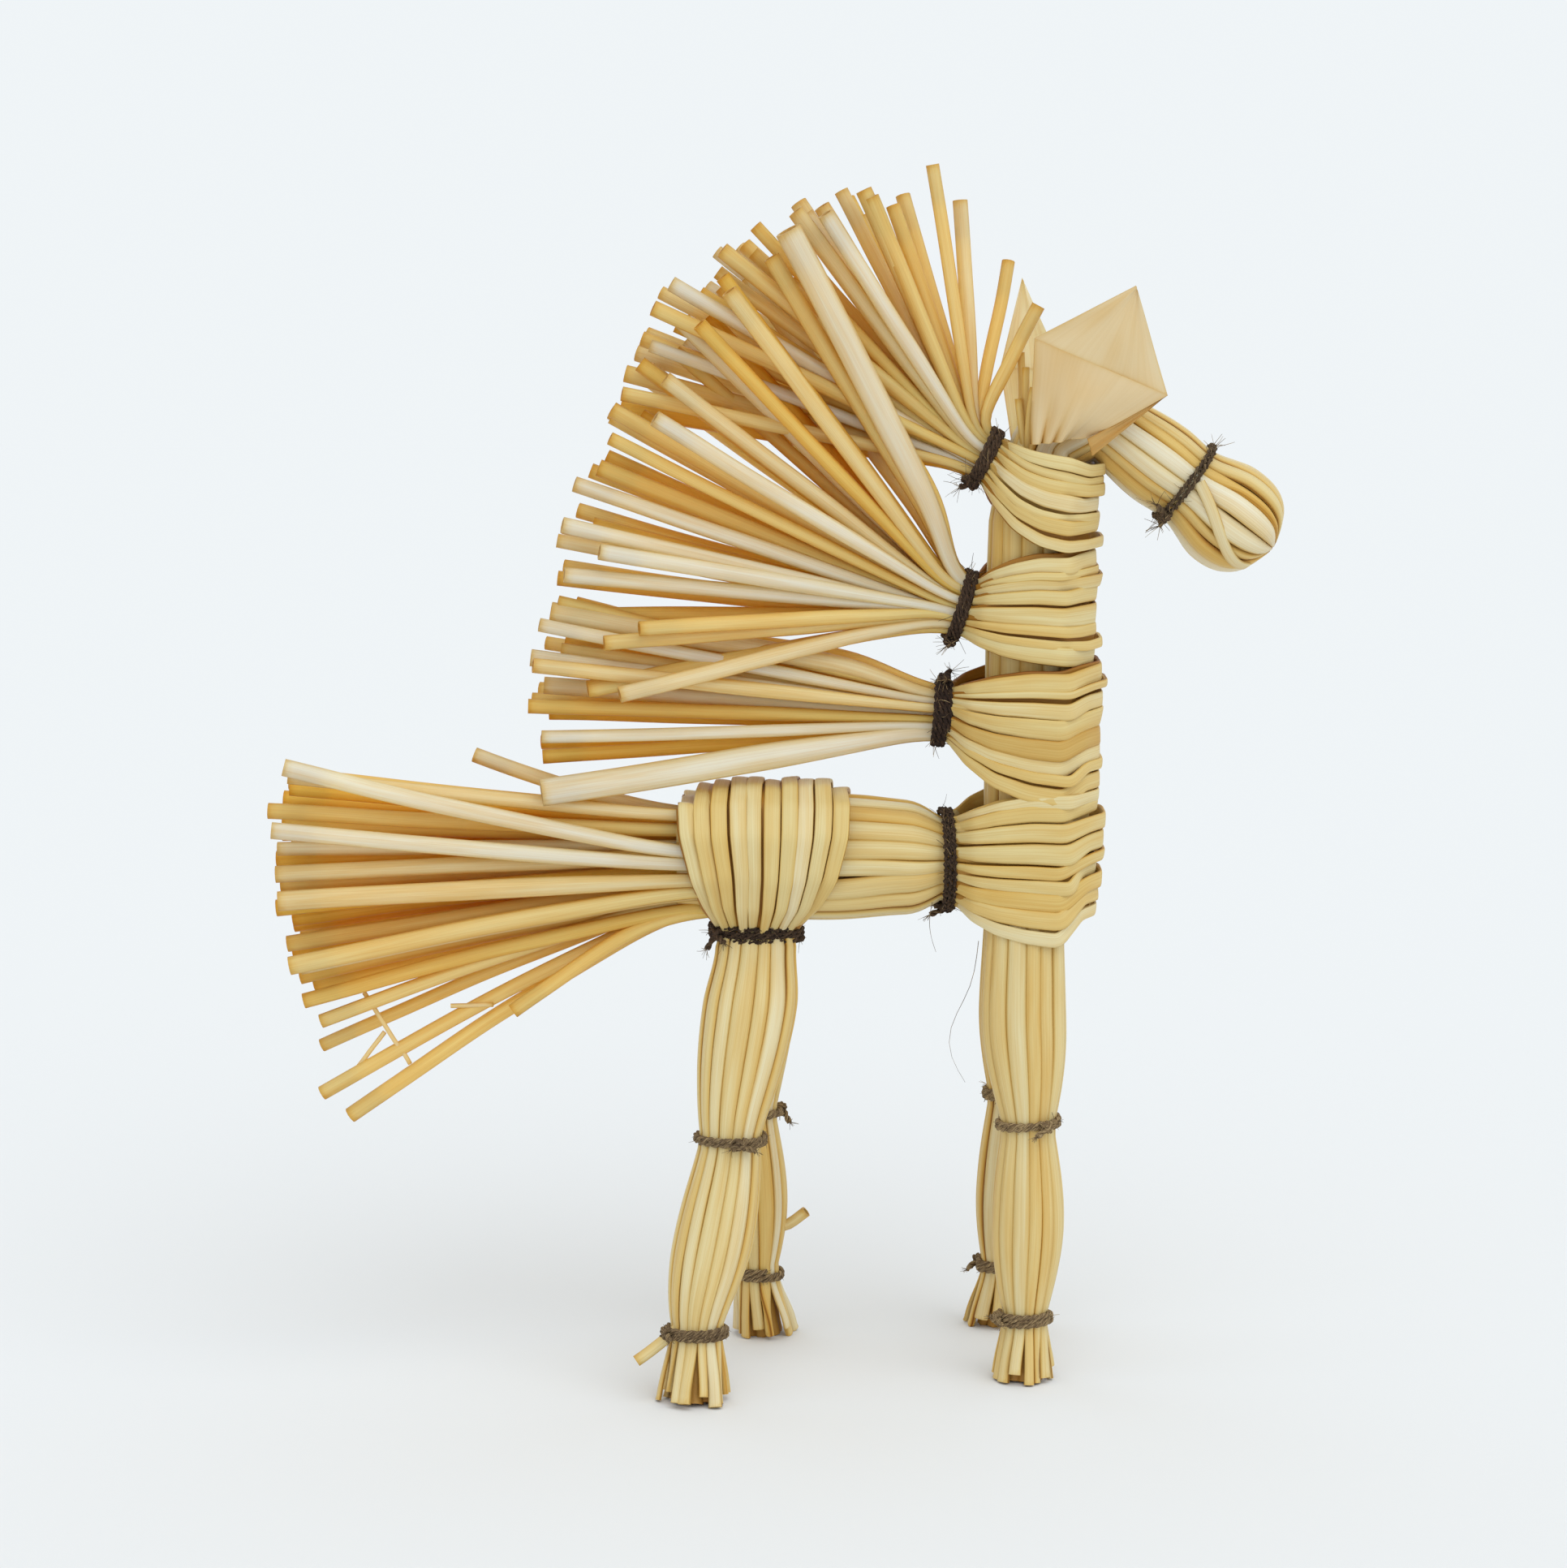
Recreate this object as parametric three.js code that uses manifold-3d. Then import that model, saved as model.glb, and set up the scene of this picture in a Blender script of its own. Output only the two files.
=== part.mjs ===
// A straw horse: soaked straw folded over itself in bundles and bound with linen twine.
// Millimetres, +Z up, the head towards +X, the origin on the ground under the middle of the horse.
import * as THREE from "three";
import { mergeVertices } from "three/addons/utils/BufferGeometryUtils.js";
import Module from "manifold-3d";

const wasm = await Module();
wasm.setup();

// ---- driving dimensions ----
const GAP = 0.35; // air left between two solids that touch on the real horse
const TWINE = 1.5; // diameter of the linen twine
const TIE_TURNS = 2; // turns of twine in each tie
const TURN_PITCH = 1.25; // distance between two turns of one tie
const TIE_HALF = ((TIE_TURNS - 1) * TURN_PITCH + TWINE) / 2; // half the width of a tie
const TIE_SIDES = 10; // straight sides that stand for one round turn of twine
const STRAW = 3.4; // diameter of a round straw at its cut end
const STRAW_ROOT = 1.8; // the same straw where a tie squeezes it
const STRAW_SIDES = 6;
const FAN_START = 4; // the loose straws of a fan leave its hub this far behind the middle of the tie
const FLUTE = 0.05; // how far each straw stands out of the outline of its bundle, as a share
const NECK_X = 40.8; // middle of the neck
const CHEST_FRONT = 51.6; // front face of the wraps round the neck
const WRAP_DEPTH = 11; // half width of those wraps
const BODY_Z = 84.8; // middle of the barrel
const HIND_X = -4.4; // middle of the rump wrap
const BELLY_Z = 72.6; // tie under the belly
const TAIL_X = -17.4; // the tail opens out from here
const CENTRE_SHIFT = [1.1, -1.8, 0]; // brings the middle of the finished horse over the origin

const straw = new THREE.MeshStandardMaterial({ color: 0xd9be7f, roughness: 0.5, metalness: 0 });
const paleStraw = new THREE.MeshStandardMaterial({ color: 0xe2cfa6, roughness: 0.45, metalness: 0 });
const twine = new THREE.MeshStandardMaterial({ color: 0x4a3c2c, roughness: 0.95, metalness: 0 });

const horse = new THREE.Group();
horse.position.set(...CENTRE_SHIFT);

// ---- solids: to manifold-3d and back ----
function solidOf(geometry) {
  const bare = geometry.clone();
  bare.deleteAttribute("normal");
  bare.deleteAttribute("uv");
  const merged = mergeVertices(bare, 1e-4);
  return new wasm.Manifold(
    new wasm.Mesh({
      numProp: 3,
      vertProperties: new Float32Array(merged.attributes.position.array),
      triVerts: new Uint32Array(merged.index.array),
    }),
  );
}

function geometryOf(solid) {
  const mesh = solid.getMesh();
  return new THREE.BufferGeometry()
    .setAttribute("position", new THREE.BufferAttribute(new Float32Array(mesh.vertProperties), 3))
    .setIndex(new THREE.BufferAttribute(new Uint32Array(mesh.triVerts), 1));
}

function union(geometries) {
  return geometryOf(geometries.map(solidOf).reduce((a, b) => a.add(b)));
}

function cut(geometry, ...tools) {
  return geometryOf(tools.map(solidOf).reduce((a, b) => a.subtract(b), solidOf(geometry)));
}

// Turns every face round if the shape came out inside out.
function facingOut(shape) {
  if (solidOf(shape).volume() < 0) {
    const index = shape.index.array;
    for (let i = 0; i < index.length; i += 3) [index[i + 1], index[i + 2]] = [index[i + 2], index[i + 1]];
  }
  return shape;
}

function addPart(name, geometry, material = straw) {
  const mesh = new THREE.Mesh(geometry, material);
  mesh.name = name;
  horse.add(mesh);
}

// ---- frames: the two directions across a bundle ----
const LEVEL = { a: new THREE.Vector3(1, 0, 0), b: new THREE.Vector3(0, 1, 0) };

// For a bundle that runs in the XZ plane and rises by slope degrees as it goes forwards.
function across(slope) {
  const rise = THREE.MathUtils.degToRad(slope);
  return { a: new THREE.Vector3(0, 1, 0), b: new THREE.Vector3(-Math.sin(rise), 0, Math.cos(rise)) };
}

function alongOf(frame) {
  return frame.a.clone().cross(frame.b);
}

// ---- a bundle of straws ----
// stations: { at, half, held } along the bundle. half: half widths along a and b. held: a tie holds it here, so
// it stays narrow for the width of that tie.
function spreadHeld(stations, frame) {
  const along = alongOf(frame);
  return stations.flatMap((station, i) => {
    if (!station.held) return [station];
    const next = stations[i + 1] ?? station;
    const previous = stations[i - 1] ?? station;
    const run = new THREE.Vector3(...next.at).sub(new THREE.Vector3(...previous.at));
    const step = Math.sign(run.dot(along)) * (TIE_HALF + GAP);
    return [-step, step].map((shift) => ({
      ...station,
      at: new THREE.Vector3(...station.at).addScaledVector(along, shift).toArray(),
    }));
  });
}

function power(value, exponent) {
  return Math.sign(value) * Math.abs(value) ** exponent;
}

// Each straw shows as a ridge, so the section has two corners for each straw. squareness 2 is an ellipse, which
// is also the section wherever a tie holds the bundle.
function bundle(stations, frame, { straws = 7, squareness = 2, grow = 0 } = {}) {
  const levels = spreadHeld(stations, frame);
  const profile = levels.map((_, i) => new THREE.Vector2(1, i));
  profile.unshift(new THREE.Vector2(0, 0));
  profile.push(new THREE.Vector2(0, levels.length - 1));
  const shape = new THREE.LatheGeometry(profile, straws * 2);
  const p = shape.attributes.position;
  for (let i = 0; i < p.count; i++) {
    const { at, half, held } = levels[Math.round(p.getY(i))];
    const exponent = 2 / (held ? 2 : squareness);
    const turn = Math.atan2(p.getX(i), p.getZ(i));
    const reach = Math.hypot(p.getX(i), p.getZ(i)) * (1 + FLUTE * Math.cos(turn * straws));
    const point = new THREE.Vector3(...at)
      .addScaledVector(frame.a, power(Math.cos(turn), exponent) * reach * (half[0] + grow))
      .addScaledVector(frame.b, power(Math.sin(turn), exponent) * reach * (half[1] + grow));
    p.setXYZ(i, point.x, point.y, point.z);
  }
  return facingOut(shape);
}

// ---- twine: turns round a waist, and the knot ----
function tie(name, { at, half }, frame, knotDegrees) {
  const r = TWINE / 2;
  const middle = ((TIE_TURNS - 1) * TURN_PITCH) / 2;
  const outline = [[0, -middle - r * 0.5], [0, middle + r * 0.5], [r, middle + r]];
  for (let n = TIE_TURNS - 1; n >= 0; n--) {
    const height = n * TURN_PITCH - middle;
    outline.push([TWINE, height + r * 0.2], [TWINE, height - r * 0.2]);
    if (n > 0) outline.push([TWINE * 0.75, height - TURN_PITCH / 2]);
  }
  outline.push([r, -middle - r]);
  const profile = outline.map(([out, height]) => new THREE.Vector2(1 + out, height));
  profile.push(profile[0].clone());
  const ring = new THREE.LatheGeometry(profile, TIE_SIDES);
  const along = alongOf(frame);
  const clear = 1 / Math.cos(Math.PI / TIE_SIDES); // the flat sides must clear the waist too
  const inner = half.map((width) => (width * (1 + FLUTE) + GAP) * clear);
  const place = (turn, out, height) =>
    new THREE.Vector3(...at)
      .addScaledVector(frame.a, Math.cos(turn) * (inner[0] + out))
      .addScaledVector(frame.b, Math.sin(turn) * (inner[1] + out))
      .addScaledVector(along, height);
  const p = ring.attributes.position;
  for (let i = 0; i < p.count; i++) {
    const turn = Math.atan2(p.getX(i), p.getZ(i));
    const point = place(turn, Math.hypot(p.getX(i), p.getZ(i)) - 1, p.getY(i));
    p.setXYZ(i, point.x, point.y, point.z);
  }
  const knot = new THREE.SphereGeometry(TWINE * 0.85, 6, 4);
  const seat = place(THREE.MathUtils.degToRad(knotDegrees), TWINE * 1.05, 0);
  knot.translate(seat.x, seat.y, seat.z);
  addPart(name, union([facingOut(ring), knot]), twine);
}

// ---- one loose straw, thin end first ----
function looseStraw(from, to) {
  const start = new THREE.Vector3(...from);
  const run = new THREE.Vector3(...to).sub(start);
  const shape = new THREE.CylinderGeometry(STRAW / 2, STRAW_ROOT / 2, run.length(), STRAW_SIDES);
  const upright = new THREE.Vector3(0, 1, 0);
  shape.applyQuaternion(new THREE.Quaternion().setFromUnitVectors(upright, run.clone().normalize()));
  const middle = start.addScaledVector(run, 0.5);
  return shape.translate(middle.x, middle.y, middle.z);
}

// ---- head: the front bundle comes over the poll, is folded back at the nose and bound ----
const HEAD = {
  slope: -36.5,
  poll: [45.4, 159.3],
  // distance from the poll and half width; the snout tie holds the narrow station
  profile: [[0, 5.2], [9, 5.8], [17, 7.4], [23.5, 6.6], [30.5, 8.7], [35, 8.7], [38.6, 7], [40.6, 4]],
  tied: 3,
};
const headFrame = across(HEAD.slope);

const headStations = HEAD.profile.map(([distance, half], i) => {
  const point = new THREE.Vector3(HEAD.poll[0], 0, HEAD.poll[1]).addScaledVector(alongOf(headFrame), distance);
  return { at: point.toArray(), half: [half, half], held: i === HEAD.tied };
});

function head(grow = 0) {
  return bundle(headStations, headFrame, { straws: 8, grow });
}

addPart("head_bundle", head());
tie("snout_tie", headStations[HEAD.tied], headFrame, -125);

// ---- neck ----
function neck(grow = 0) {
  const stations = [
    { at: [NECK_X, 0, 79], half: [8.2, 8] },
    { at: [NECK_X, 0, 125], half: [8.4, 8] },
    { at: [NECK_X + 0.1, 0, 141], half: [8, 7.6] },
    { at: [NECK_X + 1.4, 0, 149.5], half: [6.6, 6.2] },
    { at: [NECK_X + 2.2, 0, 156], half: [4.6, 4.6] },
  ];
  return bundle(stations, LEVEL, { straws: 8, grow });
}

addPart("neck_bundle", cut(neck(), head(GAP)));

// ---- legs ----
// Stations from the top of the leg to the cut ends on the ground: [x, y, z, half length, half width].
const LEGS = {
  front_leg_near: {
    stations: [
      [38.9, -5.7, 78, 6.3, 4.9],
      [38.7, -5.9, 60, 6.9, 5.1],
      [39.6, -6.4, 42.4, 4.5, 4.1],
      [39.8, -6.9, 26.4, 5.9, 5.3],
      [39.3, -7.4, 10.4, 3.8, 3.6],
      [39.1, -8, 0, 4.8, 5],
    ],
    knot: -15,
  },
  front_leg_far: {
    stations: [
      [39.5, 5.7, 78, 6.3, 4.9],
      [38.9, 8, 60, 6.5, 5.1],
      [38.7, 12.6, 43, 4.5, 4.1],
      [38.5, 17.2, 27.2, 5.8, 5.3],
      [37.7, 21.6, 11.2, 3.8, 3.6],
      [36.8, 24, 0, 4.9, 5],
    ],
    knot: 35,
  },
  hind_leg_near: {
    stations: [
      [HIND_X, -3.6, 70, 6.6, 3],
      [-5.4, -7, 61, 7.7, 5],
      [-8.5, -11, 40.8, 5.1, 4.4],
      [-11.1, -14.6, 25.4, 6.5, 5.5],
      [-13.9, -17.6, 11, 4.3, 3.9],
      [-14.3, -20, 0, 5.7, 5.4],
    ],
    knot: -30,
  },
  hind_leg_far: {
    stations: [
      [HIND_X, 3.6, 70, 6.6, 3],
      [-5.1, 6.2, 61, 7.2, 4.8],
      [-5.7, 9.4, 40.6, 4.7, 4.2],
      [-5.2, 12.8, 25.9, 6, 5.3],
      [-4.6, 16, 11.4, 3.9, 3.6],
      [-3.7, 18.4, 0, 5.2, 5.2],
    ],
    knot: 20,
  },
};
const KNEE = 2;
const ANKLE = 4;
const STRAY_STRAWS = {
  hind_leg_near: [[-12.5, -16.5, 19], [-20.8, -19.5, 13.4]],
  hind_leg_far: [[-5, 13, 27], [3.6, 14.4, 36]],
};

function legStations(name) {
  return LEGS[name].stations.map(([x, y, z, ...half], i) => ({
    at: [x, y, z],
    half,
    held: i === KNEE || i === ANKLE,
  }));
}

function leg(name, grow = 0) {
  return bundle(legStations(name), LEVEL, { straws: 6, grow });
}

for (const [name, { knot }] of Object.entries(LEGS)) {
  const stray = STRAY_STRAWS[name];
  addPart(name, stray ? union([leg(name), looseStraw(...stray)]) : leg(name));
  const stations = legStations(name);
  tie(name.replace("leg", "knee_tie"), stations[KNEE], LEVEL, knot);
  tie(name.replace("leg", "ankle_tie"), stations[ANKLE], LEVEL, knot + 150);
}

// ---- barrel: the body bundle between the chest tie and the tail ----
function barrel(grow = 0) {
  const stations = [
    { at: [26.4, 0, 84.5], half: [5.8, 7], held: true },
    { at: [19, 0, BODY_Z], half: [8.8, 9.3] },
    { at: [8, 0, BODY_Z], half: [9.4, 9.7] },
    { at: [-10, 0, BODY_Z], half: [9.2, 9.5] },
    { at: [TAIL_X + GAP, 0, BODY_Z], half: [8.6, 9] },
  ];
  return bundle(stations, across(0), { straws: 9, grow });
}

addPart("body_bundle", barrel());
tie("chest_tie", { at: [26.4, 0, 84.5], half: [5.8, 7] }, across(0), -60);

// ---- wraps: bundles flattened round the neck and the chest ----
// A wrap leaves its tie at the waist, opens out beside the neck and closes round the front of it.
// waist, middle and front: [x, z, half height].
const WRAPS = {
  mane_wrap_top: {
    slope: -10,
    waist: [34.8, 148.2, 3.9],
    middle: [42, 144, 6.2],
    front: [CHEST_FRONT, 141.4, 5.3],
  },
  mane_wrap_middle: {
    slope: 0,
    waist: [31.4, 125.4, 4.6],
    middle: [39, 125, 7.9],
    front: [CHEST_FRONT, 126, 8.8],
  },
  mane_wrap_lower: {
    slope: 0,
    waist: [28.2, 108.2, 4.1],
    middle: [38, 107, 8],
    front: [CHEST_FRONT, 106.4, 9.2],
  },
  chest_wrap: {
    slope: 0,
    waist: [28.8, 84.5, 7],
    middle: [39.4, 84, 12],
    front: [CHEST_FRONT, 84.4, 11.3],
  },
};

function wrap({ slope, waist, middle, front }) {
  const station = (share, from, to, halfWidth, halfHeight) => ({
    at: [from[0] + (to[0] - from[0]) * share, 0, from[1] + (to[1] - from[1]) * share],
    half: [halfWidth, halfHeight],
  });
  const stations = [
    station(0, waist, middle, waist[2] * 0.8, waist[2]),
    station(0.5, waist, middle, WRAP_DEPTH * 0.78, (waist[2] + middle[2]) / 2),
    station(1, waist, middle, WRAP_DEPTH, middle[2]),
    station(0.6, middle, front, WRAP_DEPTH * 0.97, front[2]),
    station(0.88, middle, front, WRAP_DEPTH * 0.76, front[2]),
    station(1, middle, front, WRAP_DEPTH * 0.48, front[2]),
  ];
  return bundle(stations, across(slope), { straws: 8, squareness: 3 });
}

// The room that the neck and the tops of the front legs take inside the wraps.
function frontCore() {
  const stations = [
    { at: [NECK_X, 0, 66], half: [7, 8] },
    { at: [NECK_X, 0, 80], half: [8.2 + GAP, 8 + GAP] },
  ];
  return bundle(stations, LEVEL, { straws: 8 });
}

const inTheWraps = [neck(GAP), head(GAP), frontCore(), leg("front_leg_near", GAP), leg("front_leg_far", GAP)];
for (const [name, shape] of Object.entries(WRAPS)) addPart(name, cut(wrap(shape), ...inTheWraps));

// The rump wrap is folded over the barrel and gathered under the belly.
const bellyWaist = { at: [HIND_X, 0, BELLY_Z], half: [6.9, 4.4], held: true };
const rumpStations = [
  bellyWaist,
  { at: [-4, 0, 79], half: [10.2, 9.2] },
  { at: [-3.3, 0, 86], half: [13.2, 11.2] },
  { at: [-3.1, 0, 93], half: [14, 9.4] },
  { at: [-3, 0, 97.2], half: [14, 3.6] },
];
addPart("rump_wrap", cut(bundle(rumpStations, LEVEL, { straws: 9, squareness: 4 }), barrel(GAP)));
tie("belly_tie", bellyWaist, LEVEL, -70);

// ---- fans: the cut ends of the mane bundles and of the body bundle ----
// root: the waist that a tie holds. tips: the cut ends [x, y, z] from the foremost to the last. Where two fans
// cross, one keeps to the near side and the other to the far side.
const FANS = {
  mane_fan_top: {
    slope: -29,
    root: { at: [32.1, 0, 149.3], half: [3.2, 3.9], held: true },
    tips: [
      [33, -4, 182.5],
      [25.5, 6, 192.5],
      [17.4, -8, 193.6],
      [9.2, 3, 191.8],
      [2.2, 10, 189.6],
      [-6, 4, 187],
      [-13.6, 12, 182],
      [-19.4, 6, 175.4],
      [-23.4, 12, 167.4],
    ],
  },
  mane_fan_middle: {
    slope: -18,
    root: { at: [28.7, 0, 125.7], half: [3.7, 4.6], held: true },
    tips: [
      [0.6, -14, 183.4],
      [-9, -9, 176],
      [-18.4, -14, 169],
      [-24.8, -8, 161],
      [-28.4, -1, 154.6],
      [-31.6, 8, 146.4],
      [-34.6, 2, 139.6],
      [-36, 10, 132.6],
      [-31, 14, 124.4],
    ],
  },
  mane_fan_lower: {
    slope: -5,
    root: { at: [25.5, 0, 108.3], half: [3.4, 4.1], held: true },
    tips: [
      [-27, -13, 136],
      [-33, -8, 130.6],
      [-37.4, -14, 125.4],
      [-39.6, -7, 119.4],
      [-40.6, 4, 113.2],
      [-39, -10, 107],
      [-38.4, 10, 103],
      [-37.6, -9, 98.6],
    ],
  },
  tail_fan: {
    slope: 0,
    root: { at: [TAIL_X - 3, 0, 85], half: [8, 8.8] },
    tips: [
      [-80.4, 5, 99],
      [-82.4, 9, 94],
      [-82.8, -12, 88.4],
      [-82, 3, 82],
      [-82.4, 13, 76],
      [-80.4, -8, 70],
      [-80, 6, 63.6],
      [-76.6, -12, 57.4],
      [-75.4, 2, 50],
      [-72, 10, 43.6],
    ],
  },
};
const FAN_Y = 15; // ends this far out leave the side of the hub
const HUB_HALF = 3; // half the straight part of a hub that no tie holds
const HUB_END = 7; // the hub ends this far behind the middle of the tie

function fan({ slope, root, tips }) {
  const frame = across(slope);
  const [width, height] = root.half;
  const station = (shift, half) => ({
    at: new THREE.Vector3(...root.at).addScaledVector(alongOf(frame), shift).toArray(),
    half,
  });
  const held = root.held ? TIE_HALF : HUB_HALF;
  const stations = [
    station(held, root.half),
    station(-held, root.half),
    station(-HUB_END, [width * 1.2, height * 1.15]),
  ];
  const hub = bundle(stations, frame, { straws: 7 });
  const straws = tips.map(([x, y, z], i) => {
    const share = 1 - (2 * (i + 0.5)) / tips.length;
    const start = new THREE.Vector3(...root.at)
      .addScaledVector(alongOf(frame), -FAN_START)
      .addScaledVector(frame.b, share * (height - STRAW_ROOT / 2) * 0.9)
      .addScaledVector(frame.a, (y / FAN_Y) * (width - STRAW_ROOT / 2) * 0.7);
    return looseStraw(start.toArray(), [x, y, z]);
  });
  return union([hub, ...straws]);
}

for (const [name, shape] of Object.entries(FANS)) {
  addPart(name, fan(shape), paleStraw);
  if (shape.root.held) tie(name.replace("fan", "tie"), shape.root, across(shape.slope), -100);
}

// ---- ears: a wide straw flattened to a ribbon and folded to a point ----
const EAR_OUTLINE = [[0, 0], [9.4, -2.6], [21, 8], [17, 23.6], [2.4, 16.8]];
const EAR_THICK = 1.1;
const EARS = {
  ear_near: { foot: [38.6, -8.2, 152.4], lean: -10, turn: 0 },
  ear_far: { foot: [36.6, 8.2, 152.4], lean: 10, turn: 4 },
};

for (const [name, { foot, lean, turn }] of Object.entries(EARS)) {
  const outline = new THREE.Shape(EAR_OUTLINE.map(([x, y]) => new THREE.Vector2(x, y)));
  const ear = new THREE.ExtrudeGeometry(outline, { depth: EAR_THICK, bevelEnabled: false });
  ear.translate(0, 0, -EAR_THICK / 2);
  ear.rotateX(Math.PI / 2 - THREE.MathUtils.degToRad(lean));
  ear.rotateY(-THREE.MathUtils.degToRad(turn));
  ear.translate(...foot);
  addPart(name, ear, paleStraw);
}

export default horse;
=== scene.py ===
"""A straw horse: straws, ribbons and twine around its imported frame. Metres, +Z up, the head towards +X."""

import math

import bpy
import numpy as np
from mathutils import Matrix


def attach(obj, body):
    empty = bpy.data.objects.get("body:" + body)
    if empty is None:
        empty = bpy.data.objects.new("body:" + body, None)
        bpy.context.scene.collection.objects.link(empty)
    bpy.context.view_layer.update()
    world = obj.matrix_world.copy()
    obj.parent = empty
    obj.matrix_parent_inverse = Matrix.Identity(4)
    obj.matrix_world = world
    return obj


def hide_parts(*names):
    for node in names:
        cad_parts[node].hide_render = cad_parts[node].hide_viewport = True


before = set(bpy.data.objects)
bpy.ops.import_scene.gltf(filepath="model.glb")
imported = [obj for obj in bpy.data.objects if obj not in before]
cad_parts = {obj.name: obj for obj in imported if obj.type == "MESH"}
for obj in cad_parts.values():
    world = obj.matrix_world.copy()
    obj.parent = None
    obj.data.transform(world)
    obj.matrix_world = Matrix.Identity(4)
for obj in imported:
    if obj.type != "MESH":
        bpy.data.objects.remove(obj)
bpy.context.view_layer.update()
rng = np.random.default_rng(7)

# ---- driving sizes and places, before the shift that centres the horse ----
MM = 0.001
CENTRE_SHIFT = np.array([1.1, -1.8, 0.0]) * MM
X_AXIS = np.array([1.0, 0.0, 0.0])
Y_AXIS = np.array([0.0, 1.0, 0.0])
Z_AXIS = np.array([0.0, 0.0, 1.0])
WRAP_Y = 10.3  # half width of the wraps
BELLY_TIE = (-4.4, 72.6)  # x, z
CHEST_TIE = (26.4, 84.5)
FOOT_Z = 0.25 * MM  # where the middle of a straw is cut, just over the floor
FLOOR_GAP = 0.04 * MM  # no point lies lower
WALL = 0.74  # inner radius of a hollow straw, as a share of its outer radius
BORE_RINGS = 5  # how deep a hollow end is, in rings of the straw
FLUTE = 0.05  # ridges that the CAD bundles carry outside their outline
STRAND = 0.31 * MM  # radius of one of the two strands of the twine
STRAND_PITCH = 2.9 * MM
TURN_PITCH = 1.0 * MM  # from one turn of a tie to the next
HAIR = 0.055 * MM
SHARP = math.radians(50)


def unit(v):
    length = np.linalg.norm(v, axis=-1, keepdims=True)
    return v / np.maximum(length, 1e-12)


def smooth(t):
    t = np.clip(t, 0, 1)
    return t * t * (3 - 2 * t)


def mm(*points):
    return np.array(points, float) * MM


def one_mm(*numbers):
    """A single place or pair of sizes, given in mm."""
    return mm(numbers)[0]


# ---- paths ----
def distances(points):
    """How far along a polyline each of its points lies."""
    return np.concatenate([[0], np.cumsum(np.linalg.norm(np.diff(points, axis=0), axis=1))])


def rounded(points, step, rounding):
    """Even samples along a polyline, its corners rounded over about that length. It keeps its two ends.
    Further columns after x, y and z are carried along."""
    points = np.asarray(points, float)
    along = distances(points[:, :3])
    count = max(6, int(math.ceil(along[-1] / step)) + 1)
    where = np.linspace(0, along[-1], count)
    line = np.stack([np.interp(where, along, column) for column in points.T], axis=1)
    width = int(rounding / (along[-1] / (count - 1)))
    if width < 1:
        return line
    kernel = np.ones(2 * width + 1) / (2 * width + 1)
    for _ in range(2):
        before = 2 * line[0] - line[width:0:-1]
        after = 2 * line[-1] - line[-2 : -2 - width : -1]
        padded = np.concatenate([before, line, after])
        line = np.stack([np.convolve(column, kernel, "valid") for column in padded.T], axis=1)
    return line


def wander(count, size, waves=3.0):
    """A slow random wave of about that size, for straws that are never quite straight."""
    usual_sum = 1.6  # of the three waves
    t = np.linspace(0, 1, count)
    total = np.zeros(count)
    for k in (1, 2, 3):
        total += np.sin(t * waves * k * 2 + rng.uniform(0, 7)) * rng.normal(0, 1) / k
    return total * size / usual_sum


def frames(path, hint):
    """Side and outward directions along a path, from a rough outward direction."""
    tangent = unit(np.gradient(path, axis=0))
    out = unit(hint - (hint * tangent).sum(1, keepdims=True) * tangent)
    return np.cross(out, tangent), out


def turned(side, out, angle):
    """The two directions turned about the path."""
    return side * np.cos(angle) + out * np.sin(angle), out * np.cos(angle) - side * np.sin(angle)


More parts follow.
